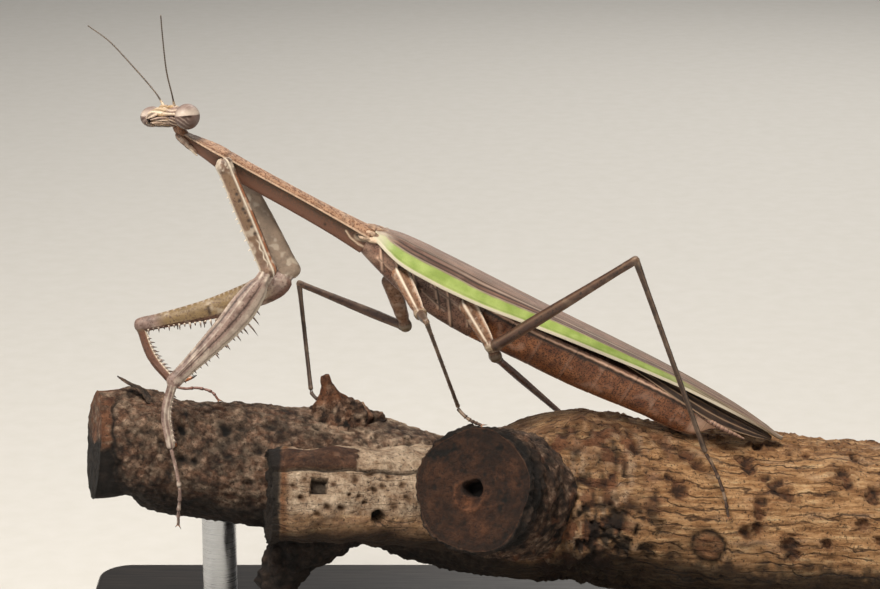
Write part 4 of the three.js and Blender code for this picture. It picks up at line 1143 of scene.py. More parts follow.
# %% Wing shapes
WING_ROOT, WING_TIP = -0.2, 64.0
WING_HALF = [
    [-0.2, 1.9], [3, 3.6], [8, 4.6], [18, 4.9], [30, 4.75], [40, 4.2], [50, 3.3], [58, 2.2], [62.5, 1.0],
    [64, 0.3],
]
WING_RIDGE = [
    [-0.2, 1.9], [4, 2.7], [12, 2.95], [25, 3.1], [36, 3.35], [47, 3.45], [55, 3.25], [60, 2.8], [64, 2.1],
]
WING_DROP = [
    [-0.2, 1.2], [4, 3.0], [8, 3.4], [16, 3.2], [26, 2.2], [36, 1.5], [46, 0.9], [56, 0.6], [64, 0.1],
]
# Where the green strip begins, as a share of the half width.
GREEN_FROM = [
    [-0.2, 0.74], [4, 0.81], [12, 0.8], [16, 0.82], [20, 0.8], [24, 0.77], [28, 0.72], [40, 0.69],
    [46, 0.62], [60, 0.75],
]
LAP = 1.9


def wing_height(s, y):
    """Height of the closed wings over the body: nearly flat on the back, then rolled down as the fifth
    power."""
    x = np.minimum(np.abs(y) / along(WING_HALF, s), 1)
    return along(WING_RIDGE, s) - along(WING_DROP, s) * (0.25 * x**2 + 0.75 * x**5)


def lapping(s):
    """How far past the middle line the left cover reaches."""
    return LAP * np.clip(np.minimum((63 - s) / 12, (s + 0.6) / 4), 0, 1)


def plate(first, last, rows, cols, thick, top):
    """A thin closed plate. top(s, q) gives [y, v] of the upper side for q from the inner to the outer
    edge; the lower side lies thick(q) under it, along the normal of the cross section."""
    s = np.linspace(first, last, rows)[:, None]
    q = np.linspace(0, 1, cols)[None, :]
    y, v = top(s, q)
    dy, dv = np.gradient(y, axis=1), np.gradient(v, axis=1)
    length = np.hypot(dy, dv) + 1e-9
    turn = np.sign(dy.mean())
    depth = thick * (1 - np.abs(2 * q - 1) ** 12) ** 0.5 + 0.02
    y2, v2 = y + turn * dv / length * depth, v - turn * dy / length * depth
    ring_y = np.concatenate([y, y2[:, ::-1]], axis=1)
    ring_v = np.concatenate([v, v2[:, ::-1]], axis=1)
    phi = np.concatenate([q, q[:, ::-1]], axis=1)
    grid = Grid(on_body(s, ring_y, ring_v), s + 0 * phi, phi + 0 * s)
    grid.upper = np.concatenate([np.ones(cols), np.zeros(cols)])[None, :]
    grid.y = ring_y
    return grid


def make_cover(reach):
    """A fore wing: lengthwise veins fan out from the hinge. d is the distance in mm outward from the
    green strip's border, where a thin cream line and a broad dark band run."""
    def top(s, q):
        y = reach(s, q)
        return y, wing_height(s, y)

    grid = plate(WING_ROOT, WING_TIP, 400, 105, 0.22, top)
    s, width = grid.t, along(WING_HALF, grid.t)
    x, border = np.abs(grid.y) / width, along(GREEN_FROM, grid.t)
    slope = along(WING_DROP, s) * (0.5 * x + 3.75 * x**4) / width
    d, out = (x - border) * width * np.hypot(1, slope), (1 - x) * width * np.hypot(1, slope)
    fan = [border * k for k in (0.12, 0.22, 0.32, 0.42, 0.52, 0.62)]
    veins = sum(hump((x - f) * width, 0, 0.07) for f in fan)
    strong = hump(d, -0.08, 0.1)
    rim = step(0.5, 0.4, out)
    green = step(-0.02, 0.06, d)
    tail = step(42, 52, s)
    hinge = step(3.4, 0.5, s) * step(0.3, 0.7, x)
    knob = blob(s - 1.3, 1.6 * (x - 0.7) * width, 0.55)
    shape = 0.05 * veins + 0.1 * strong + 0.06 * rim - 0.04 * green + 0.35 * knob
    grid.at = grid.at + BACK * (shape * grid.upper)[..., None]
    streak = noise(np.stack([s * 0.12, d * 3, 0 * d], -1), 0.9, 41, 3)
    lines = strongest([hump(d, -0.28, 0.15), 0.95 * hump(d, -0.78, 0.13), 0.75 * hump(d, -1.5, 0.16)])
    lines = np.clip(lines * step(1, 4, s) * (0.95 + 0.4 * streak), 0, 1)
    second = hump(d, -1.12, 0.12) * step(6, 16, s)
    ripple = stripes(d + 0.02 * streak, 0.42) * step(0.3, -0.1, d)
    return grid.mark(
        tint=green * (1 - 0.9 * tail),
        pale=[
            0.95 * rim * step(62, 52, s), 0.3 * strong, 0.4 * second, 0.35 * tail * green * stripes(d, 0.5),
            0.7 * hinge * (1 - 0.4 * tail), 0.3 * knob, 0.12 * ripple * step(-1.5, -1.8, d), 0.2 * veins,
        ],
        dark=[
            0.95 * lines * (1 - green) * (1 - 0.3 * tail), 0.6 * (1 - grid.upper),
            0.5 * hinge * step(0.2, 0.5, -streak),
            0.3 * hump(out, 0.62, 0.08) * green, 0.3 * tail * green, 0.14 * (1 - ripple) * (1 - green),
        ],
    )


COVERS = {
    "left": lambda s, q: mix(lapping(s), -along(WING_HALF, s), q),
    "right": lambda s, q: mix(lapping(s) + 0.12, along(WING_HALF, s) + 0.14, q),
}
for name, reach in COVERS.items():
    skin(f"fore_wing_{name}", [make_cover(reach)], TEGMEN, [f"forewing_{name}"])

# %% Folded hind wings
HIND_HALF = [[3, 2.0], [12, 2.6], [30, 3.0], [42, 3.5], [48, 3.5], [54, 2.8], [60, 1.6], [62.6, 0.5]]
HIND_SAG = [[3, 0.1], [30, 0.1], [40, 0.5], [48, 1.2], [54, 1.8], [58, 1.5], [62.6, 0.5]]
RIBS = 7


def make_hind_wing(side):
    """A fan of pleats under the cover: seven ribs, each pale on its back, the membrane dark between
    them."""
    def top(s, q):
        y = side * mix(0.06, along(HIND_HALF, s), q)
        return y, wing_height(s, y) - 0.62 - along(HIND_SAG, s) * q**3

    grid = plate(3, 62.6, 240, 52, 0.3, top)
    pleat = stripes(grid.phi, 1 / RIBS)
    grid.at = grid.at + BACK * (0.1 * (pleat - 1) * step(3, 10, grid.t))[..., None]
    edge = step(0.965, 0.99, grid.phi)
    return grid.mark(
        pale=0.6 * step(0.9, 1.0, pleat) + 0.7 * edge, dark=0.6 * step(0.6, 0.1, pleat) * (1 - edge),
    )


for side, name in ((-1, "left"), (1, "right")):
    skin(f"hind_wing_{name}", [make_hind_wing(side)], FOLDED, [f"hindwing_{name}"])

# %% [markdown]
# ## The legs
#
# Each leg is four moving pieces: hip (coxa), thigh (femur, with the small trochanter at its root), shin
# (tibia) and foot (tarsus). The middle and hind legs are plain rods for walking. The fore legs are the
# trap: a long three-sided hip with a toothed front edge, a deep blade of a thigh with spines along its
# lower edge, and a shin that snaps against it and ends in a hooked claw.
#
# Every piece is a sweep along its own middle line. Its ring angle phi starts at the outer side and turns
# over the back (90 degrees) to the inner side (180) and the side that folds (270), so a stripe along the
# leg is one value of sin(phi). Spines are separate little cones that stand in the skin.

# %% Leg chitin
# Tan chitin of the fore hips; the inner face is greyer.
FORE_HIP = cuticle(
    "fore_hip_chitin", ("#62493a", "#8e725e"), "#523729", "#866a4e", "#e9dcc8", "#24150d", 0.3, 0.64,
    (0.38, 0.6), 0.03,
    "#9a5c38",
)
# Tan chitin of the four rear hips, with nearly white keels and olive joints.
HIP = cuticle("hip_chitin", ("#7d5940", "#aa8266"), "#5e3824", "#6f6044", "#f0dfca", "#3a2418", 0.3, 0.58)
# Hard orange-brown horn of the claws and hooks, black at the tips.
HORN = cuticle(
    "claw_horn", ("#8f5a3a", "#b98460"), "#6e4028", "#a06a45", "#cfa785", "#140c08", 0.4, 0.66,
    (0.25, 0.36), 0.006,
    "#c4692c",
)

# %% Leg measures
# Joints in mm: the hip's root and end, a bend in the trochanter, the knee, a bow in the shin, the ankle and
# the places along the foot.
LEGS = {
    "fore_left": {
        "root": (-36.3, -6.1, 75.8), "end": (-30.3, -8.1, 61.4), "knee": (-43.2, -14.0, 47.4),
        "bow": (-44.2, -14.9, 43.2), "ankle": (-43.6, -15.5, 38.8), "hook": (0.3, 0.9, -0.3), "claw": 2.4,
        "foot": [
            (-43.5, -15.7, 38.2), (-42.8, -16.4, 35.4), (-42.4, -16.7, 32.4), (-42.7, -16.0, 29.6),
            (-42.9, -14.9, 27.3),
        ],
    },
    "fore_right": {
        "root": (-35.3, -1.9, 74.8), "end": (-27.8, -0.5, 59.5), "bend": (-29.8, -0.3, 57.6),
        "knee": (-49.0, 0.2, 51.4), "bow": (-47.3, -1.0, 47.2), "ankle": (-44.3, -2.6, 43.9),
        "hook": (1, 0, 0.2), "claw": 3.6,
        "foot": [
            (-44.0, -2.7, 43.3), (-42.6, -2.6, 43.0), (-41.0, -2.6, 43.1), (-38.9, -2.9, 42.6),
            (-38.0, -3.3, 41.6),
        ],
    },
    "mid_left": {
        "root": (-12.4, -6.6, 60.6), "end": (-9.6, -9.5, 55.6), "knee": (-8.8, -24.5, 58.8),
        "ankle": (-4.6, -16.2, 44.7),
        "foot": [(-4.5, -16.3, 44.2), (-3.7, -16.9, 43.5), (-2.7, -17.4, 42.9), (-1.5, -18.2, 42.6)],
    },
    "mid_right": {
        "root": (-13.8, -1.2, 58.2), "end": (-11.8, 1.2, 50.9), "knee": (-27.1, 9.2, 55.1),
        "ankle": (-25.3, 2.2, 41.6),
        "foot": [(-25.2, 1.9, 41.0), (-24.6, 1.5, 40.4), (-23.6, 1.2, 40.0), (-22.2, 1.0, 39.7)],
    },
    "hind_left": {
        "root": (-3.2, -7.2, 56.4), "end": (0.1, -9.0, 50.8), "knee": (19.0, -18.0, 65.5),
        "ankle": (29.3, -12.0, 37.0),
        "foot": [
            (29.6, -12.2, 36.4), (30.5, -12.7, 34.9), (31.5, -13.3, 32.6), (32.2, -13.8, 30.3),
            (32.6, -14.1, 28.2),
        ],
    },
    "hind_right": {
        "root": (-2.4, -0.6, 54.4), "end": (0.9, 1.2, 46.4), "knee": (11.9, 18.0, 32.0),
        "ankle": (38.6, 11.0, 29.0),
        "foot": [(39.2, 10.7, 28.8), (41.4, 10.0, 28.4), (44.2, 9.4, 28.2), (46.8, 9.2, 28.2)],
    },
}
LEGS = {name: {key: np.array(value, float) for key, value in leg.items()} for name, leg in LEGS.items()}
BLADE = [[0, 0.85], [0.08, 0.95], [0.2, 1.45], [0.38, 1.75], [0.6, 1.5], [0.85, 1.05], [1, 0.85]]


def away(a, joint, b):
    """The unit direction at a joint that points away from the side it folds to."""
    axis, way = unit(joint - a), unit(b - joint)
    return -unit(way - axis * (way @ axis))


def is_left(name):
    """Whether this is a leg of the insect's left side, the near one."""
    return name.endswith("left")


def outer_way(name):
    """The direction from the body to the leg's outer side."""
    return -RIGHT if is_left(name) else RIGHT


# %% [markdown]
# ### Fore hips
#
# The outer face of a fore hip is a long flat panel. A row of seven small dark pits runs down it, from the
# middle of the panel towards the rear keel, and ends in a pale wavy line. The front edge carries small
# teeth.

# %% Fore hips
# The pits: place along the hip, height on its face, radius in mm.
HIP_PITS = [
    (0.275, 0.0, 0.3), (0.335, 0.02, 0.3), (0.415, 0.04, 0.36), (0.455, 0.07, 0.22), (0.525, 0.1, 0.32),
    (0.585, 0.13, 0.26), (0.65, 0.17, 0.3),
]
# The teeth: place along the hip, length in mm.
HIP_TEETH = [
    (0.1, 0.22), (0.17, 0.3), (0.27, 0.4), (0.32, 0.3), (0.4, 0.45), (0.47, 0.5), (0.51, 0.4), (0.58, 0.55),
    (0.67, 0.5), (0.76, 0.45), (0.86, 0.3),
]


def make_fore_hip(name, leg):
    """The hip's grid, flattened where |cos(phi)| is high, with keels, panel and pits, and its teeth."""
    def half(t, phi):
        flat = 1 - 0.2 * step(0.3, 1, np.abs(np.cos(phi)))
        swell = 1 + 0.12 * hump(t, 0.02, 0.05) + 0.1 * hump(t, 0.99, 0.05)
        deep = (1.1 + 0.12 * np.sin(np.pi * t)) * swell
        return mix(0.8, 0.95, t) * flat * swell, deep if is_left(name) else deep * 1.25

    outer = outer_way(name)
    grid = sweep([leg["root"], leg["end"]], half, 200, 96, AFT, outer)
    t, h = grid.t, np.sin(grid.phi)
    length = np.linalg.norm(leg["end"] - leg["root"])
    face = step(0.0, 0.3, np.cos(grid.phi))
    inner = step(0.0, -0.3, np.cos(grid.phi))
    keel_at = mix(0.52, 0.42, t)
    keel = hump(h - keel_at, 0, 0.12) * face
    front = hump(h, -0.93, 0.1) * face
    panel = step(-0.75, -0.55, h) * step(keel_at - 0.12, keel_at - 0.28, h) * face
    panel = panel * step(0.03, 0.1, t) * step(0.98, 0.92, t)
    dots = sum(blob((t - a) * length, (h - b) * 1.2, size) for a, b, size in HIP_PITS) * face
    wave = hump(h - 0.12 - 0.1 * np.sin(t * 70), 0, 0.09) * step(0.68, 0.74, t) * step(0.97, 0.92, t) * face
    rough = noise(grid.at, 0.45, 41, 2)
    root = step(0.12, 0.03, t)
    raised(
        grid,
        0.16 * keel + 0.05 * front - 0.11 * panel - 0.05 * dots + 0.05 * wave * panel
        + (0.03 + 0.09 * root) * rough,
    )
    patch = step(0.05, 0.45, noise(grid.at, 0.9, 42, 2))
    grid.mark(
        pale=[
            0.85 * keel, 0.8 * front, 0.8 * wave, 0.4 * patch, 0.5 * root * step(-0.1, 0.3, rough),
            0.35 * inner * (0.6 + patch),
        ],
        # The warm band behind the keel and the dark strip along the back, 0.45 * step(0.8, 0.95, h), are
        # painted shade on the rear side.
        warm=0.85 * hump(h, keel_at + 0.26, 0.13) * face * step(0.08, 0.15, t),
        dark=[
            0.97 * dots, 0.2 * panel * (1 - wave), 0.45 * step(0.8, 0.95, h) * face,
            0.5 * root * step(0.1, 0.5, -rough),
            0.35 * hump(h, keel_at - 0.22, 0.08) * face,
        ],
        tint=0.65 * panel * step(0.9, 0.6, t),
    )
    at, size = np.array(HIP_TEETH).T
    axis = unit(leg["end"] - leg["root"])
    front_way = unit(-AFT + axis * (AFT @ axis))
    feet = mix(leg["root"], leg["end"], at[:, None]) + front_way * 1.12 + outer * 0.12
    teeth = spikes(feet, front_way + outer * 0.15 + axis * 0.25, size, 0.14)
    for tooth in teeth:
        tooth.mark(dark=0, pale=1)
    return [grid, *teeth]


for name in ("fore_left", "fore_right"):
    skin(f"{name}_hip", make_fore_hip(name, LEGS[name]), FORE_HIP, [f"{name}_coxa"])

# %% [markdown]
# ### Fore thighs
#
# The blade is deepest at two fifths of its length. Its outer face is pinkish and mottled between a thin
# dark line under the upper edge and a broken dark stripe below the middle; the lower edge is cream. The
# far thigh shows its inner face, which is yellow-tan with a row of pale warts on top and a short groove
# for the claw. Spines stand along the lower edge: long ones near two fifths, then two rows of short ones.

# %% Fore thighs
def blade_path(leg):
    """The blade's middle line, the joint it starts from and the direction of its lower edge."""
    below = -away(leg.get("bend", leg["end"]), leg["knee"], leg["bow"])
    start = leg.get("bend", leg["end"])
    belly = mix(start, leg["knee"], 0.42) + below * 0.7
    path = [leg["end"], leg["bend"], belly, leg["knee"]] if "bend" in leg else [
        leg["end"], belly, leg["knee"],
    ]
    return path, start, below


def make_fore_thigh(name, leg):
    """The blade's grid: its half depth is 1.13 times BLADE, and its faces flatten as |sin(phi)| ** 3."""
    path, start, below = blade_path(leg)
    outer = outer_way(name)

    def half(t, phi):
        deep = 1.13 * along(BLADE, t) * (1 + 0.1 * hump(t, 0.985, 0.03) - 0.12 * hump(t, 0.11, 0.03))
        thin = 1 - 0.28 * np.abs(np.sin(phi)) ** 3
        return (0.55 * along(BLADE, t) + 0.2) * thin, deep

    grid = sweep(path, half, 220, 100, -below, outer)
    t, h = grid.t, np.sin(grid.phi)
    face = step(0.0, 0.25, np.cos(grid.phi))
    inner = step(0.0, -0.25, np.cos(grid.phi))
    body = step(0.1, 0.16, t) * step(0.99, 0.93, t)
    breaks = 0.5 + 0.5 * step(-0.35, 0.0, noise(grid.at, 0.8, 51, 2))
    ragged = 0.04 * noise(grid.at, 0.35, 56, 2)
    stripe = hump(h + ragged, mix(0.02, 0.12, t), 0.07) * face * body * (0.75 + 0.25 * breaks)
    line = hump(h, 0.8, 0.06) * face * body * step(0.97, 0.75, t)
    thread = hump(h, 0.42 + 0.2 * (1 - t), 0.05) * face * body * breaks
    second = hump(h, 0.38, 0.05) * face * step(0.7, 0.78, t) * step(0.99, 0.95, t)
    edge = step(-0.62, -0.9, h) * body
    top = hump(h, 1.0, 0.06) * body
    root = step(0.13, 0.08, t)
    folds = (0.5 + 0.5 * np.cos(np.arcsin(np.clip(h, -1, 1)) * 7 + t * 18)) * root
    groove = hump(t, 0.715, 0.008) * step(-0.75, -0.5, h) * step(0.4, 0.2, h) * inner
    warts = np.maximum(np.cos(t * 250), 0) ** 2 * hump(h, 0.93, 0.1) * inner * body
    rough = noise(grid.at, 0.4, 52, 2)
    raised(
        grid,
        0.05 * thread - 0.06 * stripe + 0.05 * (1 - step(0, 0.2, np.abs(h + 0.62))) * body + 0.09 * folds
        - 0.12 * groove + 0.07 * warts + 0.028 * rough * body - 0.03 * line,
    )
    patch = step(0.1, 0.5, noise(grid.at, 0.9, 53, 3))
    streak = step(0.15, 0.5, noise(grid.at, (1.4, 1.4, 0.5), 54, 2))
    stains = step(-0.5, -0.9, h) * step(0.1, 0.6, noise(grid.at, 0.7, 55, 2))
    grid.mark(
        pale=(
            0.85 * edge * face + 0.4 * thread + 0.5 * top * face + 0.6 * warts + 0.3 * patch + 0.4 * folds
            + 0.35 * step(-0.05, -0.3, h) * face * body
        ),
        dark=[
            0.95 * stripe, 0.88 * line, 0.75 * second, 0.85 * groove, 0.22 * root * (1 - folds),
            inner * body * (0.5 * stains + 0.2 * streak), 0.3 * hump(t, 0.955, 0.012),
        ],
        tint=0.9 * inner * step(-0.9, -0.5, h) * (1 - warts) * step(0.95, 0.88, t) * step(0.3, 0.5, t),
        warm=0.3 * inner * step(-0.5, -0.8, h) * body,
    )
    return grid, start, below, outer


def thigh_spines(leg, start, below, outer):
    """Long spines at two fifths of the blade, an outer row of five and an inner row of small ones."""
    axis = unit(leg["knee"] - start)
    rows = [
        # places along the thigh, lengths in mm, how far to the outer side, how far they lean to the knee
        ((0.26, 0.31, 0.365, 0.41), (1.2, 1.9, 2.7, 1.5), -0.1, 0.05),
        ((0.47, 0.565, 0.66, 0.75, 0.84), (1.25, 1.15, 1.1, 1.0, 0.8), 0.3, 0.05),
        (np.linspace(0.44, 0.95, 15), np.where(np.arange(15) % 2, 0.5, 0.9), -0.32, 0.0),
    ]
    found = []
    for places, lengths, side, lean in rows:
        t = np.array(places)[:, None]
        middle = mix(start, leg["knee"], t) + below * 0.7 * np.sin(np.pi * np.clip(t / 0.84, 0, 1))
        feet = middle + below * (along(BLADE, t) - 0.18) + outer * side
        found += spikes(
            feet, below + axis * lean + outer * side * 0.6, np.array(lengths), 0.17, 0.12 * axis,
        )
    return found


for name in ("fore_left", "fore_right"):
    grid, start, below, outer = make_fore_thigh(name, LEGS[name])
    spines = thigh_spines(LEGS[name], start, below, outer)
    skin(f"{name}_thigh", [grid, *spines], GRASP, [f"{name}_femur"])

# %% [markdown]
# ### Fore shins, hooks and feet
#
# The shin bows a little, so that it fits against the thigh when the trap closes. Two rows of slanting
# spines arm its inner side. The last spine is the hook, a curved horn thicker than all the others. The
# thin foot starts beside it: five joints, each swollen at its far end, and a pair of claws.

# %% Fore shins
# Two rows of shin spines: how far to the outer side, first and last place, number, length in mm.
SHIN_SPINES = [(0.26, 0.3, 0.9, 9, 0.85), (-0.26, 0.22, 0.92, 12, 0.7)]


def make_fore_shin(name, leg):
    """The shin's grid, oval and swollen at the knee, and its two rows of slanting spines."""
    outer = outer_way(name)
    start = leg.get("bend", leg["end"])
    thigh, axis = unit(leg["knee"] - start), unit(leg["ankle"] - leg["knee"])
    back = unit(thigh - axis * (thigh @ axis))
    path = [leg["knee"], leg["bow"], leg["ankle"]]

    def half(t, phi):
        knee = 1 + 0.18 * hump(t, 0.03, 0.06)
        return (0.5 + 0 * t) * knee, mix(0.6, 0.7, np.sin(np.pi * t)) * knee

    grid = sweep(path, half, 130, 64, back, outer)
    t, h = grid.t, np.sin(grid.phi)
    body = step(0.05, 0.12, t)
    keels = hump(h, 0.35, 0.12) + hump(h, -0.45, 0.12)
    rough = noise(grid.at, 0.4, 61, 2)
    raised(grid, 0.05 * keels * body + 0.02 * rough)
    patch = step(0.0, 0.5, noise(grid.at, 0.8, 62, 2))
    face = step(0.0, 0.25, np.cos(grid.phi))
    grid.mark(
        pale=0.35 * keels * face + 0.75 * step(-0.55, -0.8, h) + 0.4 * patch * face,
        dark=[
            0.45 * hump(h, -0.05, 0.12) * body, 0.4 * (1 - face) * step(-0.6, -0.3, h),
            0.25 * hump(t, 0.09, 0.02),
        ],
        tint=0.5 * (1 - face),
        warm=0.6 * (1 - face) * step(-0.8, -0.5, h) * body,
    )
    spines = []
    for side, first, last, count, size in SHIN_SPINES:
        places = np.linspace(first, last, count)
        feet = bend(path, places) - back * 0.5 + outer * side
        spines += spikes(feet, -back + axis * 0.75 + outer * side * 0.5, size * mix(0.8, 1.2, places), 0.15)
    return [grid, *spines], axis


def make_hook(leg, axis):
    """The shin's claw: a horn that leaves the ankle along its own way and curves down to a fine point."""
    heel = leg["ankle"] - axis * 0.4
    reach = unit(leg["hook"]) * leg["claw"]
    places = [heel + reach * s + axis * 0.3 * math.sin(math.pi * s) for s in (0.0, 0.4, 0.75, 1.0)]

    def half(t, phi):
        thick = 0.42 * (1 - t**1.6) + 0.045
        return thick * 0.85, thick

    grid = sweep(places, half, 70, 24, -axis, RIGHT, dome=0.4)
    return grid.mark(dark=step(0.6, 0.8, grid.t), warm=0.6 * step(0.7, 0.4, grid.t))


# %% Feet
FOOT_JOINTS = (0.42, 0.6, 0.74, 0.86)


def make_foot(leg, thick, pale=0.45, warm=0.0):
    """A foot's five joints: the radius swells towards the end of each joint and pinches between two."""
    def half(t, phi):
        ends = sum(0.34 * hump(t, j - 0.018, 0.03) - 0.3 * hump(t, j + 0.014, 0.014) for j in FOOT_JOINTS)
        r = mix(thick, thick * 0.8, t) * (1 + ends)
        return r, r * 0.9

    grid = sweep(leg["foot"], half, 150, 20, np.array([0.2, -1.0, 0.3]), -RIGHT)
    knots = sum(hump(grid.t, j, 0.016) for j in FOOT_JOINTS)
    return grid.mark(pale=pale * step(0.1, 0.5, noise(grid.at, 0.8, 71)), dark=0.7 * knots, warm=warm)


def make_foot_claws(leg):
    """Two curved spikes that spread from the foot's end."""
    last, before = leg["foot"][-1], leg["foot"][-2]
    way = unit(last - before)
    spread = unit(np.cross(way, [0, -0.6, 0.8]))
    aims = np.stack([way + spread * 0.8, way - spread * 0.8])
    claws = spikes([last, last], aims, 0.75, 0.13, way * 0.35, rows=12, cols=10)
    for claw in claws:
        claw.marks["pale"] *= 0
    return claws


for name in ("fore_left", "fore_right"):
    leg = LEGS[name]
    shin, axis = make_fore_shin(name, leg)
    skin(f"{name}_shin", shin, GRASP, [f"{name}_tibia"])
    foot = make_foot(leg, 0.26) if is_left(name) else make_foot(leg, 0.2, 0.1, 0.55)
    skin(f"{name}_foot", [foot], GRASP, [f"{name}_tarsus"])
    skin(f"{name}_claws", [make_hook(leg, axis), *make_foot_claws(leg)], HORN)

# %% [markdown]
# ### Walking legs
#
# The rear hips are short cones with two pale keels along the outer face and a sunken panel between them.
# The thighs and shins are rods with four faint keels, thicker at the knee, and a scatter of tiny
# bristles. The shin carries two spurs at its end.

# %% Rear hips
def make_rear_hip(name, leg):
    """A cone from 1.1 to 0.72 mm wide with two keels, a sunken panel and a knob at its end."""
    outer = outer_way(name)

    def half(t, phi):
        knob = 1 + 0.16 * hump(t, 0.97, 0.06) - 0.12 * hump(t, 0.85, 0.05)
        return mix(1.1, 0.72, t) * knob, mix(1.35, 0.8, t) * knob

    grid = sweep([leg["root"], leg["end"]], half, 130, 72, AFT, outer)
    t, h = grid.t, np.sin(grid.phi)
    face = step(0.0, 0.3, np.cos(grid.phi))
    body = step(0.98, 0.84, t)
    keels = (hump(h, 0.62, 0.13) + hump(h, -0.55, 0.14)) * face * body
    panel = step(-0.42, -0.3, h) * step(0.5, 0.38, h) * face * body
    spots = (blob((t - 0.7) * 7, h - 0.1, 0.22) + blob((t - 0.3) * 7, h + 0.1, 0.2)) * face
    rough = noise(grid.at, 0.5, 81, 2)
    raised(grid, 0.14 * keels - 0.12 * panel + 0.03 * rough - 0.04 * spots)
    patch = step(0.05, 0.5, noise(grid.at, 0.7, 82, 2))
    return grid.mark(
        pale=[0.95 * keels, 0.3 * patch, 0.25 * hump(t, 0.95, 0.04)],
        dark=[
            0.35 * panel * step(0.3, -0.1, h), 0.75 * spots, 0.5 * hump(t, 0.86, 0.03),
            # 0.3 * (1 - face) is painted shade on the hip's inner face.
            0.5 * step(0.75, 0.95, h), 0.3 * (1 - face),
        ],
        tint=0.8 * step(0.88, 0.93, t),
    )


# %% Walking thighs and shins
THIGH_SIZE = [[0, 0.62], [0.03, 0.78], [0.06, 0.68], [0.3, 0.72], [0.85, 0.5], [0.95, 0.5], [1, 0.5]]
SHIN_SIZE = [[0, 0.42], [0.04, 0.4], [0.15, 0.33], [0.9, 0.3], [1, 0.35]]


def make_rod(a, b, back, outer, size, share, seed, rows=200):
    """A rod of the leg whose radius falls along size, times share; four keels run along it."""
    def half(t, phi):
        r = share * along(size, t)
        return r, r * 1.08

    grid = sweep([a, b], half, rows, 32, back, outer)
    keels = 0.5 + 0.5 * np.cos(4 * grid.phi + math.pi)
    rough = noise(grid.at, 0.5, seed, 2)
    raised(grid, 0.035 * keels + 0.012 * rough)
    patch = step(0.1, 0.6, noise(grid.at, 1.3, seed + 1, 2))
    ends = hump(grid.t, 0.0, 0.02) + 0.7 * hump(grid.t, 1.0, 0.02)
    return grid.mark(
        pale=0.25 * step(0.75, 1.0, keels) + 0.22 * patch + 0.35 * ends,
        dark=0.35 * hump(grid.t, 0.035, 0.012) + 0.3 * step(0.4, 0.0, keels),
    )


def bristles(a, b, radius, count, length, seed):
    """Tiny hairs that stand out all round a rod and slant towards its far end."""
    rng = np.random.default_rng(seed)
    t = (np.arange(count)[:, None] + rng.random((count, 1))) / count
    axis = unit(b - a)
    side = unit(np.cross(axis, [0.3, 0.2, 0.9]))
    angle = rng.random((count, 1)) * 2 * np.pi
    way = side * np.cos(angle) + np.cross(axis, side) * np.sin(angle)
    return spikes(mix(a, b, t) + way * radius, way + axis * 1.3, length, 0.03, rows=4, cols=5)


for name, leg in LEGS.items():
    if name.startswith("fore"):
        continue
    share = {"mid_left": 0.82, "mid_right": 0.86, "hind_left": 1.04, "hind_right": 0.7}[name]
    outer = outer_way(name)
    back = away(leg["end"], leg["knee"], leg["ankle"])
    thigh = make_rod(leg["end"], leg["knee"], back, outer, THIGH_SIZE, share, 91)
    thigh.mark(warm=0.6 if name == "hind_right" else 0.1)
    shin = make_rod(leg["knee"], leg["ankle"], back, outer, SHIN_SIZE, share, 95)
    axis = unit(leg["ankle"] - leg["knee"])
    spur_ways = np.stack([axis + 0.5 * back, axis - 0.6 * back])
    spurs = spikes([leg["ankle"]] * 2, spur_ways, [0.8, 1.0], 0.12)
    shin_hairs = bristles(leg["knee"], leg["ankle"], 0.28, 26, 0.24, 97)
    thigh_hairs = bristles(leg["end"], leg["knee"], 0.45, 16, 0.2, 98)
    skin(f"{name}_hip", [make_rear_hip(name, leg)], HIP, [f"{name}_coxa"])
    skin(f"{name}_thigh", [thigh, *thigh_hairs], WALK, [f"{name}_femur"])
    skin(f"{name}_shin", [shin, *spurs, *shin_hairs], WALK, [f"{name}_tibia"])
    skin(f"{name}_foot", [make_foot(leg, 0.26)], WALK, [f"{name}_tarsus"])
    skin(f"{name}_claws", make_foot_claws(leg), HORN)

# %% [markdown]
# ## The perch
#
# The insect stands on a dead branch. Its thick end lies to the right, yellow-brown and barkless, with
# wavy cracks along the grain, clusters of pits and an oval scar where a twig fell off. To the left the
# bark is still on, brown and cobbled, up to a peeled and charred end. A broken side stem lies in front,
# and beside it the sawn stub of another points forward. A dark snag hangs below, and a curl of bark
# stands up on top.
#
# A sculptor would carve this, and a remesh could join the pieces. Each stem is its own fine grid here,
# because the pits, knots and cobbles are functions of the place along and around the wood, and they stay
# sharp. The cracks are finer than the grid, so the material draws them from `turn`, the place around the
# stem.

# %% Bark and wood
CRACKS_ROUND = 50


def sums(add, *terms):
    """The sum of several node outputs, each times a number: terms are (output, number)."""
    total = 0.0
    for output, share in terms:
        total = add("Math", {0: output, 1: share, 2: total}, operation="MULTIPLY_ADD")
    return total


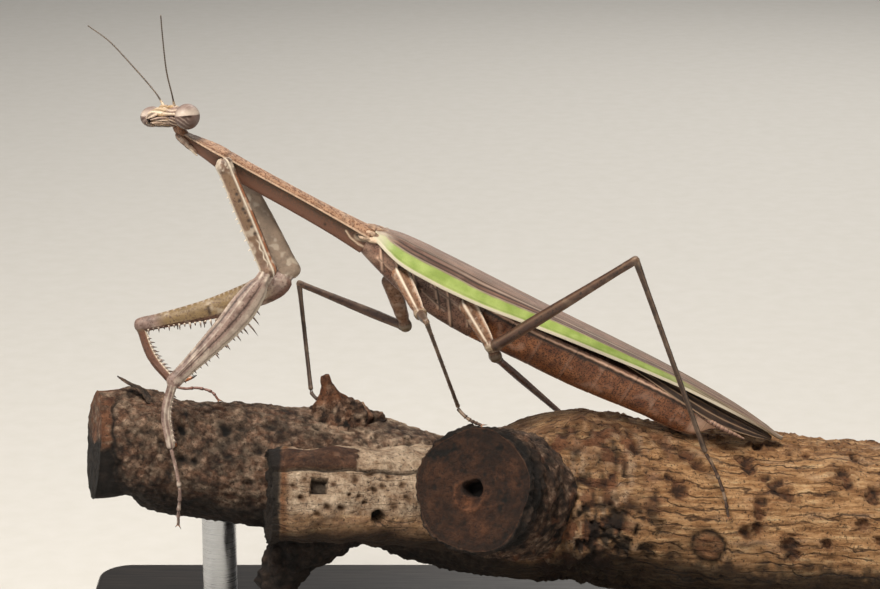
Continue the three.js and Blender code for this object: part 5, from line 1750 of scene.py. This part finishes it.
def wood(name):
    """Dead wood and bark: a cobbled brown ground; tint lays long-grained yellow wood over it, pale a
    crust of lichen, warm rusty inner bark, and dark char, black bark and painted shade. A crack runs where
    turn * 50
    + noise is near a whole number; both the grain and the cracks are noise stretched along the branch."""
    made, add, place = material(name)
    clouds = add("TexNoise", {"Vector": place, "Scale": per_mm(1.9), "Detail": 9.0, "Roughness": 0.8})
    lumps = add("TexVoronoi", {"Vector": place, "Scale": per_mm(1.1)})
    rough = sums(add, (clouds, 1.0), (lumps, -0.22))
    stops = [(0.26, "#170e08"), (0.37, "#4f382a"), (0.46, "#7c604d"), (0.58, "#c2a28a")]
    bark = add("ValToRGB", {0: rough}, stops)
    long = add("Mapping", {"Vector": place, "Scale": (0.16, 1, 1)})
    grain = add("TexNoise", {"Vector": long, "Scale": per_mm(0.8), "Detail": 7.0, "Roughness": 0.7})
    stops = [(0.3, "#5c3a20"), (0.45, "#a97b4f"), (0.58, "#d6a878"), (0.72, "#f6d8a8")]
    timber = add("ValToRGB", {0: grain}, stops)
    half_long = add("Mapping", {"Vector": place, "Scale": (0.4, 1, 1)})
    sway = add("TexNoise", {"Vector": half_long, "Scale": per_mm(1.5), "Detail": 4.0})
    turn = add("Attribute", out="Fac", attribute_name="turn")
    phase = sums(add, (turn, CRACKS_ROUND), (sway, 2.2))
    near = add("Math", {0: phase, 1: 0.5}, operation="PINGPONG")
    line = add("MapRange", {0: near, 1: 0.02, 2: 0.14, 3: 1.0, 4: 0.0})
    some = add("TexNoise", {"Vector": long, "Scale": per_mm(2.0), "Detail": 2.0})
    some = add("MapRange", {0: some, 1: 0.42, 2: 0.56, 3: 0.0, 4: 1.0})
    cracks = add("Math", {0: line, 1: some}, operation="MULTIPLY")
    shade = add("Math", {0: cracks, 1: 0.85}, operation="MULTIPLY")
    timber = add("Mix", {0: shade, 6: timber, 7: "#3a2212"}, out=2, data_type="RGBA")
    colour = marked(add, bark, "tint", timber)
    crust = add("ValToRGB", {0: clouds}, [(0.38, "#8a6d55"), (0.6, "#e6cfb4")])
    colour = marked(add, colour, "pale", crust)
    rust = add("ValToRGB", {0: clouds}, [(0.36, "#452414"), (0.64, "#96603f")])
    colour = marked(add, colour, "warm", rust)
    grit = add("TexNoise", {"Vector": place, "Scale": per_mm(0.4), "Detail": 5.0, "Roughness": 0.7})
    holes = add("ValToRGB", {0: grit}, [(0.37, 0.8), (0.45, 0.0)])
    colour = add("Mix", {0: holes, 6: colour, 7: "#24140b"}, out=2, data_type="RGBA")
    colour = marked(add, colour, "dark", "#0f0a07")
    wooden = add("Attribute", out="Fac", attribute_name="tint")
    split = add("Math", {0: cracks, 1: wooden}, operation="MULTIPLY")
    height = sums(add, (rough, 1.3), (grit, 0.6), (grain, 0.4), (split, -0.7))
    gloss = add("MapRange", {0: grit, 1: 0.3, 2: 0.7, 3: 0.75, 4: 0.95})
    finish(add, colour, gloss, height, 0.7, IOR=1.45)
    return made


# Weathered wood with its bark, dry and matt.
BARK = wood("weathered_bark")

# %% Wooden stems
STEM = [
    # x, y, z of the middle, and the radius there, in mm
    (-54.8, -9.7, 37.2, 7.5), (-48.6, -8.3, 36.5, 7.7), (-44.2, -7.2, 34.8, 8.0), (-33.7, -5.6, 32.9, 8.4),
    (-21.0, -4.4, 31.2, 8.7), (-12.0, -3.8, 28.8, 8.9), (-5.0, -3.0, 26.2, 9.4), (3.0, -2.4, 26.2, 10.8),
    (12.7, -1.8, 26.9, 12.1), (29.7, -1.5, 24.2, 11.8), (44.0, -1.5, 23.1, 11.6), (57.0, -1.5, 22.3, 11.5),
]


def bough(places, radius, rows, cols, faces=(30, 8), dense=0.45, towards=150):
    """Rings round a curve, their radius wavy in two ways. The points crowd together on the side of the
    angle towards: angle = u - dense * sin(u - towards). Each end goes on in rows that shrink to the
    middle, a face."""
    first, last = faces
    t = np.concatenate([np.zeros(first), np.linspace(0, 1, rows), np.ones(last)])
    opening = np.linspace(0.01, 1, first, endpoint=False)
    scale = np.concatenate([opening, np.ones(rows), np.linspace(1, 0.01, last + 1)[1:]])
    u = around(cols)
    angle = u - dense * np.sin(u - math.radians(towards))
    middle = bend(places, t)
    tangent = unit(bend(places, np.minimum(t + 0.005, 1)) - bend(places, np.maximum(t - 0.005, 0)))
    across = unit(np.cross([0, 0, 1], tangent))
    up = np.cross(tangent, across)
    a, t = angle[None, :], t[:, None]
    r = along(radius, t) * (1 + 0.025 * np.sin(5 * a + 23 * t) + 0.02 * np.sin(3 * a - 41 * t + 1.3))
    ring = across[:, None] * (r * np.cos(a))[..., None] + up[:, None] * (r * np.sin(a))[..., None]
    grid = Grid(middle[:, None] + ring * scale[:, None, None], t, a)
    grid.x, grid.angle, grid.r = grid.at[..., 0].copy(), np.degrees(a) % 360 + 0 * t, r
    grid.core = (1 - scale)[:, None] + 0 * a
    grid.tangent = tangent[:, None]
    grid.mark(turn=grid.angle / 360)
    return grid


def apart(grid, x, angle):
    """Distance in mm over the skin of a stem from the place x mm along it at the angle, slightly
    warped."""
    warp = 0.5 * noise(grid.at, 1.7, 101, 2)
    return np.hypot(grid.x - x + warp, np.radians(grid.angle - angle) * grid.r + warp)


def spots(grid, places, width):
    """The strongest of the bells of the given width round the places (x, angle, radius) on a stem."""
    bells = [hump(apart(grid, x, angle), 0, width * size) for x, angle, size in places]
    return strongest(bells)


def cobbles(grid, size, seed):
    """Rounded lumps of about the given size in mm: 1 in their middles, 0 in the clefts between."""
    far, own = cells(grid.at + 0.4 * size * noise(grid.at, size, seed=seed)[..., None], size, seed)
    return np.clip(1 - far, 0, 1), own


# %% [markdown]
# ### The main stem
#
# Four zones follow one another from left to right: the peeled end, cobbled bark with knots, a pale crust
# on the upper side, and bare cracked wood. The lists give each pit, knot, dark patch and lump by its
# place along the stem in mm, its angle round it in degrees (90 is the top, 180 the front) and its radius
# in mm.

# %% Main stem
PITS = [
    (27.2, 120, 1.3), (28.6, 126, 1.2), (26.0, 149, 1.5), (35.2, 117, 1.1), (36.0, 124, 1.2),
    (39.4, 138, 1.4),
    (40.6, 144, 1.1), (38.0, 132, 0.9), (37.3, 151, 1.3), (37.2, 159, 1.0), (48.7, 127, 1.4),
    (49.3, 133, 1.0),
    (52.8, 141, 1.4), (51.4, 161, 1.1), (35.2, 171, 1.2), (36.8, 169, 1.1), (41.2, 179, 1.5),
    (42.1, 188, 1.2),
    (37.4, 104, 0.9), (41.5, 108, 0.7), (44.2, 110, 0.8), (51.0, 110, 0.9), (24.6, 142, 1.1),
    (20.1, 125, 1.0),
    (17.4, 112, 1.0), (21.6, 108, 0.7), (55.0, 133, 1.0), (54.6, 172, 1.1), (46.5, 176, 0.9),
]
KNOTS = [
    (-42.2, 138, 1.0), (-46.5, 150, 1.0), (-44.9, 160, 0.8), (-36.2, 131, 1.2), (-34.6, 124, 1.1),
    (-30.4, 120, 0.9), (-38.5, 120, 0.7), (-31.5, 150, 1.0), (-40.5, 166, 0.8), (-24.0, 118, 0.8),
    (-15.5, 122, 0.7), (-33.5, 180, 1.0), (-49.2, 149, 0.8), (-42.4, 166, 1.1),
]
PATCHES = [(-36.0, 152, 2.6), (-38.6, 158, 1.8), (-36.2, 130, 1.5), (-30.0, 128, 1.6), (-42.0, 138, 1.2)]
SCAR = (30.0, 183, 2.4)
KNOB = (12.6, 104)


def beneath(angle, first, last):
    """1 on the underside: it comes in from first to last degrees and goes out from 345 to 395."""
    return step(first, last, angle) * step(395, 345, angle)


def bark_marks(grid, small, own, broad):
    """The left part: relief in mm, and the marks of its crust, knots and dark patches."""
    at, x, angle = grid.at, grid.x, grid.angle
    lumps, lump_own = cobbles(grid, 1.4, 121)
    pits = spots(grid, KNOTS, 0.7)
    rims = spots(grid, KNOTS, 1.3) - pits
    patches = spots(grid, PATCHES, 1.0) * step(-0.5, 0.3, noise(at, 1.3, 122, 3) + 0.2)
    crust = step(-30, -18, x) * step(4, -6, x) * step(146, 116, angle) * step(-0.45, 0.25, broad)
    height = 0.5 * (lumps - 0.62) + 0.28 * (small - 0.6) + 0.35 * rims - 0.55 * pits - 0.3 * patches
    pale = (
        0.65 * crust * step(0.2, 0.7, small) + 0.2 * step(0.6, 0.95, lump_own) + 0.3 * rims
        + 0.25 * step(0.4, 0.8, small)
    )
    # 0.45 * step(0.3, 0.05, lumps) is painted shade in the clefts between the cobbles.
    dark = 0.6 * pits + 0.7 * patches + 0.45 * step(0.3, 0.05, lumps) + 0.35 * step(0.1, -0.4, broad)
    return height, pale, 0.3 * step(0.6, 0.8, own), dark


def wood_marks(grid, small, own, broad):
    """The right part: relief in mm, the marks of its pits, scar, knob and torn lumps, and its share of
    timber."""
    at, x, angle = grid.at, grid.x, grid.angle
    crack = noise(at, (5.0, 1.2, 1.2), 141, 3)
    shards = noise(at, (1.0, 1.0, 2.6), 151, 3)
    ragged = noise(at, 0.8, 143, 3)
    torn_edge = noise(at, (0.9, 0.5, 0.5), 147, 3)
    pits = step(0.35, 0.75, spots(grid, PITS, 1.0) + 0.25 * ragged + 0.4 * torn_edge)
    rims = step(0.15, 0.4, spots(grid, PITS, 1.35) + 0.2 * ragged) * (1 - pits)
    # A black patch in each pit: painted shadow.
    pit_shadow = pits * step(-0.05, 0.2, noise(at, 0.7, 146, 2))
    scar_far = apart(grid, *SCAR[:2]) * (1 + 0.12 * np.cos(np.radians(angle * 6)))
    scar = step(SCAR[2], SCAR[2] - 0.4, scar_far)
    scar_ring = hump(scar_far, SCAR[2], 0.42)
    knob = hump(apart(grid, *KNOB), 0, 1.6)
    torn = (
        step(5, 8, x) * step(27, 17, x + 0.06 * (angle - 150) + 5 * noise(at, 2.5, 145))
        * step(96, 118, angle)
    )
    lumps, lump_own = cobbles(grid, 1.9, 144)
    black = step(-0.05, 0.15, shards) * step(8, 12, x) * step(28, 20, x) * step(152, 170, angle)
    patch = hump(apart(grid, 41.5, 186), 0, 1.3) + hump(apart(grid, 32.5, 178), 0, 0.8)
    # foot: the underside of the bare wood, painted dark: black bark and painted shade.
    foot = beneath(angle + 14 * shards, 188, 203) * step(10, 16, x)
    strands = noise(at, (0.5, 1.8, 1.8), 148, 3)
    crumbs = step(118, 104, angle) * step(8, 14, x) * step(-0.15, 0.4, noise(at, (1.3, 0.7, 0.7), 149, 3))
    height = (
        0.16 * crack - 0.5 * pits + 0.25 * rims + 0.6 * crumbs * own + 0.12 * (small - 0.4) + 0.8 * knob
        - 0.8 * black * (0.4 + own)
        + torn * (0.9 * (lumps - 0.55) + 0.6 * shards + 0.45 * strands) - 0.45 * scar_ring
        + 0.1 * scar * np.cos(scar_far * 9)
        + 0.4 * foot * shards
    )
    warm = strongest([
        0.85 * pits, 0.2 * rims, 0.5 * crumbs, 0.7 * scar, 0.8 * knob,
        torn * step(0.45, 0.7, lump_own) * 0.9,
    ])
    pale = strongest([0.35 * step(0.2, 0.6, crack), 0.45 * torn * step(0.0, 0.4, strands)])
    dark = strongest([
        0.8 * pit_shadow, 0.3 * pits, 0.92 * black, 0.9 * scar_ring, 0.85 * patch * step(-0.2, 0.2, shards),
        # torn * (0.85 * step(0.4, 0.1, lumps)) is painted shade in the clefts between the torn lumps.
        0.5 * knob * small, 0.85 * foot, torn * (0.85 * step(0.4, 0.1, lumps)),
        0.75 * torn * step(0.0, 0.4, -strands), 0.35 * crumbs * small,
        # Painted shade: darker towards the underside of the bare wood.
        0.5 * step(164, 196, angle + 12 * broad) * step(-0.3, 0.3, shards) * step(46, 30, x),
    ])
    return height, pale, warm, dark, 1 - 0.25 * torn


def make_main_stem():
    """The stem's grid: each zone's relief and marks, blended along x, and the two sawn faces."""
    places = [row[:3] for row in STEM]
    radius = [[i / (len(STEM) - 1), row[3]] for i, row in enumerate(STEM)]
    grid = bough(places, radius, 340, 218, (24, 6))
    x, at, core = grid.x, grid.at, grid.core
    angle = np.where(grid.angle < 40, grid.angle + 360, grid.angle)
    broad = noise(at, 6.0, 112, 3)
    small, own = cobbles(grid, 0.75, 131)
    # low: painted shade on the underside of the stem, over its own black bark.
    low = beneath(angle + 16 * noise(at, 3.0, 111, 3), 186, 218)
    bare = step(-3, 8, x + 5 * broad)
    edge_x = -50.6 - 0.75 * np.cos(np.radians(grid.angle - 120)) + 0.7 * noise(at, 1.6, 113, 2)
    end = step(edge_x, edge_x - 0.5, x)
    ring = hump(x, edge_x, mix(0.25, 0.9, step(130, 200, angle))) * step(96, 112, angle)
    bark = bark_marks(grid, small, own, broad)
    *wooden, timber = wood_marks(grid, small, own, broad)
    height = mix(mix(bark[0], wooden[0], bare), -0.12 - 0.05 * small, end) - 0.4 * ring
    raised(grid, (height + 0.4 * broad * bare) * (core == 0))
    bumps = noise(at, 1.2, 162, 3)
    grid.at = grid.at + grid.tangent * ((0.25 * bumps + 0.1 * small) * (core > 0.02))[..., None]
    sawn = step(0.0, 0.03, core) * (x < 0)
    char = np.maximum(
        end * beneath(angle + 10 * broad, 160, 172), sawn * beneath(angle + 10 * broad, 150, 162),
    )
    pale, warm, dark = (mix(a, b, bare) * (1 - end) for a, b in zip(bark[1:], wooden[1:]))
    peeled = np.maximum(end, sawn) * (1 - char)
    return grid.mark(
        tint=0.95 * bare * timber,
        warm=np.maximum(warm, 0.85 * peeled * step(-0.5, 0.1, noise(at, (1.4, 1.4, 0.5), 163, 2))),
        pale=pale + 0.2 * peeled,
        dark=[dark, 0.88 * low, 0.94 * char, 0.95 * ring],
    )


skin("branch_main_stem", [make_main_stem()], BARK, ["perch"])

# %% [markdown]
# ### The broken side stem
#
# Its front is bare, pale and full of small pits. A smooth strip of brown inner bark is left on top,
# someone has cut a square hole, and a beetle has left a round one. The broken end is painted black as
# painted shade, and behind it a dark snag hangs down, painted all but black: dark bark and painted shade.

# %% Broken side stem
SIDE = [(-30.4, -17.5, 32.3), (-20, -15.6, 31.8), (-10, -12, 30.2), (0, -6, 28.5)]
SIDE_PITS = [
    (-18.5, 143, 0.8), (-21.2, 148, 0.5), (-17.9, 164, 0.5), (-22.1, 176, 0.6), (-20.2, 179, 0.5),
    (-13.2, 174, 1.0), (-12.0, 148, 0.7), (-13.7, 140, 0.7), (-16.5, 132, 0.9), (-15.9, 155, 0.5),
    (-25.6, 165, 0.5), (-25.2, 141, 0.4), (-14.8, 150, 0.5), (-19.4, 160, 0.4), (-23.5, 185, 0.6),
    (-17.0, 172, 0.5), (-26.4, 152, 0.4), (-11.2, 165, 0.6),
]


def make_side_stem():
    """The side stem's grid: cracked wood with pits, the smooth strip, both holes and the broken end,
    painted black as painted shade.
    """
    grid = bough(SIDE, [[0, 6.3], [0.5, 6.6], [1, 8]], 190, 190, (24, 4))
    x, angle, at, core = grid.x, grid.angle, grid.at, grid.core
    broad = noise(at, 4.0, 171, 3)
    crack = noise(at, (4.0, 1.1, 1.1), 172, 3)
    small, own = cobbles(grid, 0.8, 173)
    pits = spots(grid, SIDE_PITS, 0.7)
    strip_end = -18.2 + 0.9 * noise(at, 0.9, 176, 2)
    strip = step(129, 126, angle + 4 * broad) * step(84, 90, angle) * step(strip_end, strip_end - 0.4, x)
    lip = hump(angle + 4 * broad, 129, 2.2) * step(-15.5, -17.5, x)
    down = np.radians(angle - 150) * grid.r
    square = step(1.2, 1.05, np.maximum(np.abs(x + 23.2 + 0.12 * down), np.abs(down)))
    beetle = step(1.15, 0.8, apart(grid, -15.3, 189))
    # low: painted shade on the underside of the side stem.
    low = step(196, 226, angle + 14 * broad)
    streaky = step(176, 196, angle + 10 * broad)
    seam = hump(angle - 133 - 3 * noise(at, 2.0, 174), 0, 2.2) * step(-17.5, -16, x) * step(-5, -8, x)
    height = 0.2 * crack + 0.22 * (small - 0.4) - 0.55 * pits + 0.3 * broad
    height = mix(height, 0.3 + 0.05 * crack, strip) - 0.4 * lip - 1.4 * square - 1.8 * beetle - 0.45 * seam
    raised(grid, height * (core == 0))
    jags = noise(at, (1.5, 1.1, 1.1), 175, 3)
    grid.at = grid.at + grid.tangent * ((0.9 * jags + 0.5) * (core > 0.02))[..., None]
    # black: the broken end, painted black as painted shade.
    black = np.maximum(step(0.0, 0.03, core) * (x < -10), step(-28.1, -28.7, x + 0.3 * jags))
    edge = step(-27.0, -28.0, x) * (1 - black)
    return grid.mark(
        tint=0.9 * (1 - strip) * (0.55 + 0.45 * streaky),
        pale=(0.7 + 0.25 * own) * (1 - strip) * (1 - 0.7 * streaky) * (1 - edge) * (1 - pits),
        warm=[
            0.6 * strip, 0.4 * low, 0.6 * edge, 0.35 * pits, 0.3 * streaky * step(0.5, 0.7, own),
        ],
        dark=[
            0.96 * black, 0.85 * lip, 0.4 * strip + 0.2 * strip * step(0.0, 0.5, crack), 0.6 * pits,
            0.86 * square, 0.97 * beetle, 0.88 * low, 0.35 * streaky * step(0.1, -0.2, crack), 0.85 * seam,
        ],
    )


SNAG = [(-20, -12.5, 28), (-27, -14, 22.5), (-30.5, -15, 17.5)]


def make_snag():
    """The hanging snag: a rough stem that thins from 4.6 to 2.6 mm, painted all but black: dark bark and
    painted shade.
    """
    grid = bough(SNAG, [[0, 4.6], [0.5, 3.8], [1, 2.6]], 90, 90, (4, 14), dense=0)
    lumps, own = cobbles(grid, 1.5, 177)
    raised(grid, (0.9 * (lumps - 0.7) + 0.5 * noise(grid.at, 2.2, 178, 2)) * (grid.core == 0))
    return grid.mark(warm=0.2 * step(0.7, 0.9, own), dark=0.86 + 0.12 * step(0.4, 0.1, lumps))


skin("branch_side_stem", [make_side_stem(), make_snag()], BARK)

# %% [markdown]
# ### The sawn stub
#
# The stub's end grain is a reddish brown, painted dark as painted shade. Faint growth rings run round the
# pith, which has rotted into a black hole with an orange rim under it. A thick wrinkled bark, nearly black,
# lies round it.

# %% Sawn stub
STUB = [(-2.6, -22, 34.7), (0.4, -16, 32.3), (5, -6, 28)]
STUB_RADIUS = 8.3


def make_stub():
    """The stub's grid. On the face, reach is the distance from its middle; right and up are measured on
    it."""
    grid = bough(STUB, [[0, STUB_RADIUS], [0.5, 8.4], [1, 9]], 120, 220, (84, 4), dense=0)
    at, core, a = grid.at, grid.core, np.radians(grid.angle)
    front = step(0.0, 0.02, core) * (grid.t < 0.5)
    side = (core == 0) * 1.0
    reach = (1 - core) * STUB_RADIUS
    right, up = -np.cos(a) * reach, np.sin(a) * reach
    grit = noise(at, 0.9, 184, 3)
    swirl = noise(at, 2.6, 187, 3)
    hole = step(1.55, 1.25, np.hypot(right, (up - 0.15) * 1.15) + 0.25 * grit)
    wall = hump(np.hypot(right + 0.4, up + 0.75), 2.1, 0.4) * step(1.0, -0.8, up + 0.5 * right)
    glow = blob(right + 0.55, up + 1.75, 0.75) * (1 - hole)
    rings = stripes(reach + 0.3 * swirl, 0.8)
    small, own = cobbles(grid, 0.9, 185)
    grey = step(1.2, 0.6, np.hypot(right + 3.3, up + 5.2) + 0.5 * grit)
    white = step(0.7, 0.3, np.hypot(right + 6.2, up + 3.2) + 0.3 * grit)
    lump = blob(right - 1.7, up + 4.6, 1.2)
    normal = unit(np.array(STUB[0], float) - np.array(STUB[1], float))
    depth = 0.02 * rings + 0.12 * grit + 0.35 * wall - 2.2 * hole - 0.3 * glow + 0.2 * lump
    wrinkles = noise(at, (1.2, 2.6, 1.2), 186, 3)
    corners = np.clip(-np.cos(4 * a), 0, 1) * step(0.5, 0.1, grid.t)
    raised(grid, (0.5 * wrinkles + 0.35 * (small - 0.4) + 0.35 * corners) * side)
    grid.at = grid.at + normal * (depth * front)[..., None]
    rim = step(7.1, 7.5, reach + 0.4 * grit)
    rear = step(0.25, 0.45, grid.t) * side
    # face: how dark the cut face is painted, mostly painted shade over the whole end grain, less at the
    # lump, the glow and the wall.
    face = 0.76 - 0.26 * swirl - 0.3 * lump - 0.6 * glow - 0.45 * wall + 0.04 * rings
    return grid.mark(
        warm=np.maximum(front * 0.95, (0.3 + 0.5 * rear) * step(0.2, 0.6, wrinkles) * side),
        pale=0.35 * wall * front + 0.75 * white * front + 0.3 * grey * front
        + 0.12 * side * step(0.7, 0.9, own),
        dark=[
            front * np.clip(face + 0.2 * step(0.0, -0.5, grit), 0, 1), 0.99 * hole * front,
            0.85 * rim * front,
            side * (0.78 - 0.6 * rear + 0.2 * step(0.2, -0.2, wrinkles)), 0.7 * grey * front,
        ],
    )


skin("branch_stub", [make_stub()], BARK)

# %% [markdown]
# ### Bark curl and flake
#
# A splinter of inner bark stands up from a heap of crumbled bark on top, rusty where it is fresh. Near
# the left end a thin flake has lifted off the stem.

# %% Bark curl and flake
CURL = [(-21.4, -4.6, 37.4), (-22.2, -4.6, 41.5), (-22.9, -4.6, 45.5)]
CURL_SIZE = [[0, 6.2], [0.3, 4.4], [0.5, 2.7], [0.66, 1.5], [0.8, 0.95], [1, 0.55]]
FLAKE = [(-46.9, -9.5, 43.5), (-48.2, -9.3, 45.0), (-49.9, -9.1, 45.8), (-51.3, -9.0, 46.7)]


def make_curl():
    """The curl: a post whose radius falls along CURL_SIZE, folded by cos(3 phi) and cos(7 phi)."""
    def half(t, phi):
        folds = 1 + 0.14 * np.cos(3 * phi + 4 * t) + 0.1 * np.cos(7 * phi - 9 * t)
        r = along(CURL_SIZE, t) * folds
        return r * mix(0.6, 0.8, t), r

    grid = sweep(CURL, half, 120, 120, np.array([1.0, 0, 0]), -RIGHT, dome=0.2)
    lumps, own = cobbles(grid, 1.4, 191)
    grit = noise(grid.at, 0.8, 192, 3)
    base = step(0.62, 0.45, grid.t)
    raised(grid, (1.0 * (lumps - 0.55) + 0.4 * grit) * mix(0.25, 1, base))
    return grid.mark(
        warm=0.45 * step(0.4, 0.7, own) + 0.35 * (1 - base),
        pale=[0.75 * step(0.72, 0.85, own) * base, 0.35 * step(0.0, 0.5, grit)],
        dark=[0.85 * step(0.45, 0.15, lumps) * base, 0.35 * step(0.4, 0.1, own) * base],
    )


def make_flake():
    """The flake: a blade 0.4 mm thick that narrows from 3.2 mm to a point."""
    def half(t, phi):
        return along([[0, 1.6], [0.5, 0.9], [0.8, 0.6], [1, 0.3]], t) + 0 * phi, 0.22 - 0.1 * t + 0 * phi

    grid = sweep(FLAKE, half, 60, 36, np.array([0.6, 0, 0.8]), -RIGHT, dome=0.3)
    raised(grid, 0.14 * noise(grid.at, 0.6, 193, 2))
    return grid.mark(dark=0.45 + 0.3 * step(0.0, 0.5, np.sin(-grid.phi)), pale=0.1)


skin("bark_curl", [make_curl()], BARK)
skin("bark_flake", [make_flake()], BARK)

# %% [markdown]
# ## The display stand
#
# A flat slab of black-stained hardwood carries two brushed steel rods, which are glued into holes in the
# underside of the branch. The slab could be a cube with a Bevel modifier; its outline and its rounded
# edges are one formula here. The rods carry fine scratches round them, as a lathe leaves them.

# %% Stand materials
def stained_wood():
    """Black stain on hardwood: the grain shows through as long darker pores, and a thin wax gives a satin
    coat."""
    made, add, place = material("black_stained_hardwood")
    long = add("Mapping", {"Vector": place, "Scale": (0.06, 1, 1)})
    pores = add("TexNoise", {"Vector": long, "Scale": per_mm(0.5), "Detail": 5.0, "Roughness": 0.6})
    colour = add("ValToRGB", {0: pores}, [(0.38, "#15110f"), (0.62, "#2c2622")])
    gloss = add("MapRange", {0: pores, 1: 0.3, 2: 0.7, 3: 0.5, 4: 0.36})
    finish(add, colour, gloss, pores, 0.03, IOR=1.5, Coat_Weight=0.15, Coat_Roughness=0.3)
    return made


def brushed_steel():
    """Turned steel: scratches round the rod vary the roughness and the bump. Real ones are finer; 0.15 mm
    apart along the rod is the finest that shows."""
    made, add, place = material("brushed_steel")
    tall = add("Mapping", {"Vector": place, "Scale": (0.02, 0.02, 1)})
    lines = add("TexNoise", {"Vector": tall, "Scale": per_mm(0.15), "Detail": 3.0})
    colour = add("ValToRGB", {0: lines}, [(0.3, "#a9abae"), (0.7, "#cdced0")])
    gloss = add("MapRange", {0: lines, 1: 0.3, 2: 0.7, 3: 0.22, 4: 0.4})
    finish(add, colour, gloss, lines, 0.004, Metallic=1.0)
    return made


# The slab: hardwood under black stain and wax.
STAINED = stained_wood()
# The rods: stainless steel, turned and brushed.
STEEL = brushed_steel()

# %% Slab and rods
SLAB = (118.0, 60.0, 5.0)
CORNER, ROUNDING = 5.0, 0.8
RODS = [(-38.0, -6.2, 27.5), (33.0, -1.5, 14.5)]
# The rods' radius and the gap between them and the slab, in mm.
ROD_RADIUS, ROD_GAP = 2.4, 0.12


def outline(inset, cols=320):
    """Points on a rectangle with rounded corners, inset from the slab's edge. Half of the points of each
    quarter go to the corner's arc; the straight sides need none between."""
    quarter = np.linspace(0, np.pi / 2, cols // 4)
    turn = np.concatenate([quarter + k * np.pi / 2 for k in range(4)])
    sign_x, sign_y = (np.repeat(signs, cols // 4) for signs in ([1, -1, -1, 1], [1, 1, -1, -1]))
    x = sign_x * (SLAB[0] / 2 - CORNER) + (CORNER - inset) * np.cos(turn)
    y = sign_y * (SLAB[1] / 2 - CORNER) + (CORNER - inset) * np.sin(turn)
    return x, y


def make_slab():
    """Outlines stacked upwards, drawn in and lifted along a quarter circle at both edges."""
    arc = np.linspace(0, np.pi / 2, 14)
    inset = np.concatenate([[4.9], ROUNDING * (1 - np.sin(arc)), ROUNDING * (1 - np.cos(arc)), [4.9]])
    z = np.concatenate(
        [[0.0], ROUNDING * (1 - np.cos(arc)), SLAB[2] - ROUNDING * (1 - np.sin(arc)), [SLAB[2]]]
    )
    rings = [np.stack([*outline(i), np.full(320, h)], -1) for i, h in zip(inset, z)]
    return Grid(np.array(rings))


def make_rod_of_steel(x, y, top):
    """A round rod from just above the slab up to top, its edges broken by 0.2 mm at both ends."""
    foot = SLAB[2] + ROD_GAP
    z = np.concatenate(
        [[foot, foot, foot + 0.18], np.linspace(foot + 0.28, top - 0.2, 30), [top - 0.1, top]]
    )
    r = np.concatenate([[0.2, 2.2, 2.4], np.full(30, ROD_RADIUS), [2.3, 2.1]])[:, None]
    phi = around(72)
    return Grid(np.stack(np.broadcast_arrays(x + r * np.cos(phi), y + r * np.sin(phi), z[:, None]), -1))


skin("stand_slab", [make_slab()], STAINED, ["stand_base"])
for number, spot in enumerate(RODS, 1):
    skin(
        f"stand_steel_rod_{number}", [make_rod_of_steel(*spot)], STEEL,
        [f"stand_rod_{number}"],
    )

# %% [markdown]
# ## Floor and light
#
# A pale floor and soft lamps show form without hard shadows. The warm key lamp hangs high in front, so
# the backs of wings, shield and branch are bright and their undersides fall into shade. A weaker lamp
# from the left opens the shade, and one from behind draws a thin rim along the back.

# %% Floor and lamps
def add_floor(size=4.0):
    """A plane in the floor's place, wide enough that its edge is never seen."""
    mesh = bpy.data.meshes.new("floor")
    h = size / 2
    mesh.from_pydata([(-h, -h, 0), (h, -h, 0), (h, h, 0), (-h, h, 0)], [], [(0, 1, 2, 3)])
    made, add, place = material("floor_paint")
    soft = add("TexNoise", {"Vector": place, "Scale": per_mm(4.0), "Detail": 3.0})
    colour = add("ValToRGB", {0: soft}, [(0.3, "#d8d6d1"), (0.7, "#dcdad6")])
    finish(add, colour, 0.75, soft, 0.01)
    mesh.materials.append(made)
    floor = bpy.data.objects.new("floor", mesh)
    bpy.context.scene.collection.objects.link(floor)
    return floor


def add_lamp(name, place, aim, size, power, colour):
    """A square soft lamp at place, in metres, turned to aim."""
    data = bpy.data.lights.new(name, "AREA")
    data.size = size
    data.energy = power
    data.color = colour
    lamp = bpy.data.objects.new(name, data)
    bpy.context.scene.collection.objects.link(lamp)
    lamp.location = place
    lamp.rotation_euler = (Vector(aim) - Vector(place)).to_track_quat("-Z", "Y").to_euler()


add_floor()
MIDDLE = (0, 0, 0.05)
add_lamp("key", (-0.10, -0.26, 0.55), MIDDLE, 0.20, 4.6, (1.0, 0.93, 0.83))
add_lamp("fill", (-0.45, -0.40, 0.20), MIDDLE, 0.45, 0.45, (0.93, 0.96, 1.0))
add_lamp("rim", (0.15, 0.50, 0.40), MIDDLE, 0.30, 1.2, (1.0, 0.96, 0.9))
world = bpy.data.worlds.new("room")
world.use_nodes = True
world.node_tree.nodes["Background"].inputs["Color"].default_value = (0.92, 0.93, 0.95, 1)
world.node_tree.nodes["Background"].inputs["Strength"].default_value = 0.14
bpy.context.scene.world = world
bpy.context.scene.view_settings.view_transform = "Standard"

# %% Box corners
def corners(box):
    """A box's two corners as plain lists of numbers, in metres."""
    return [[float(x) for x in corner] for corner in box]
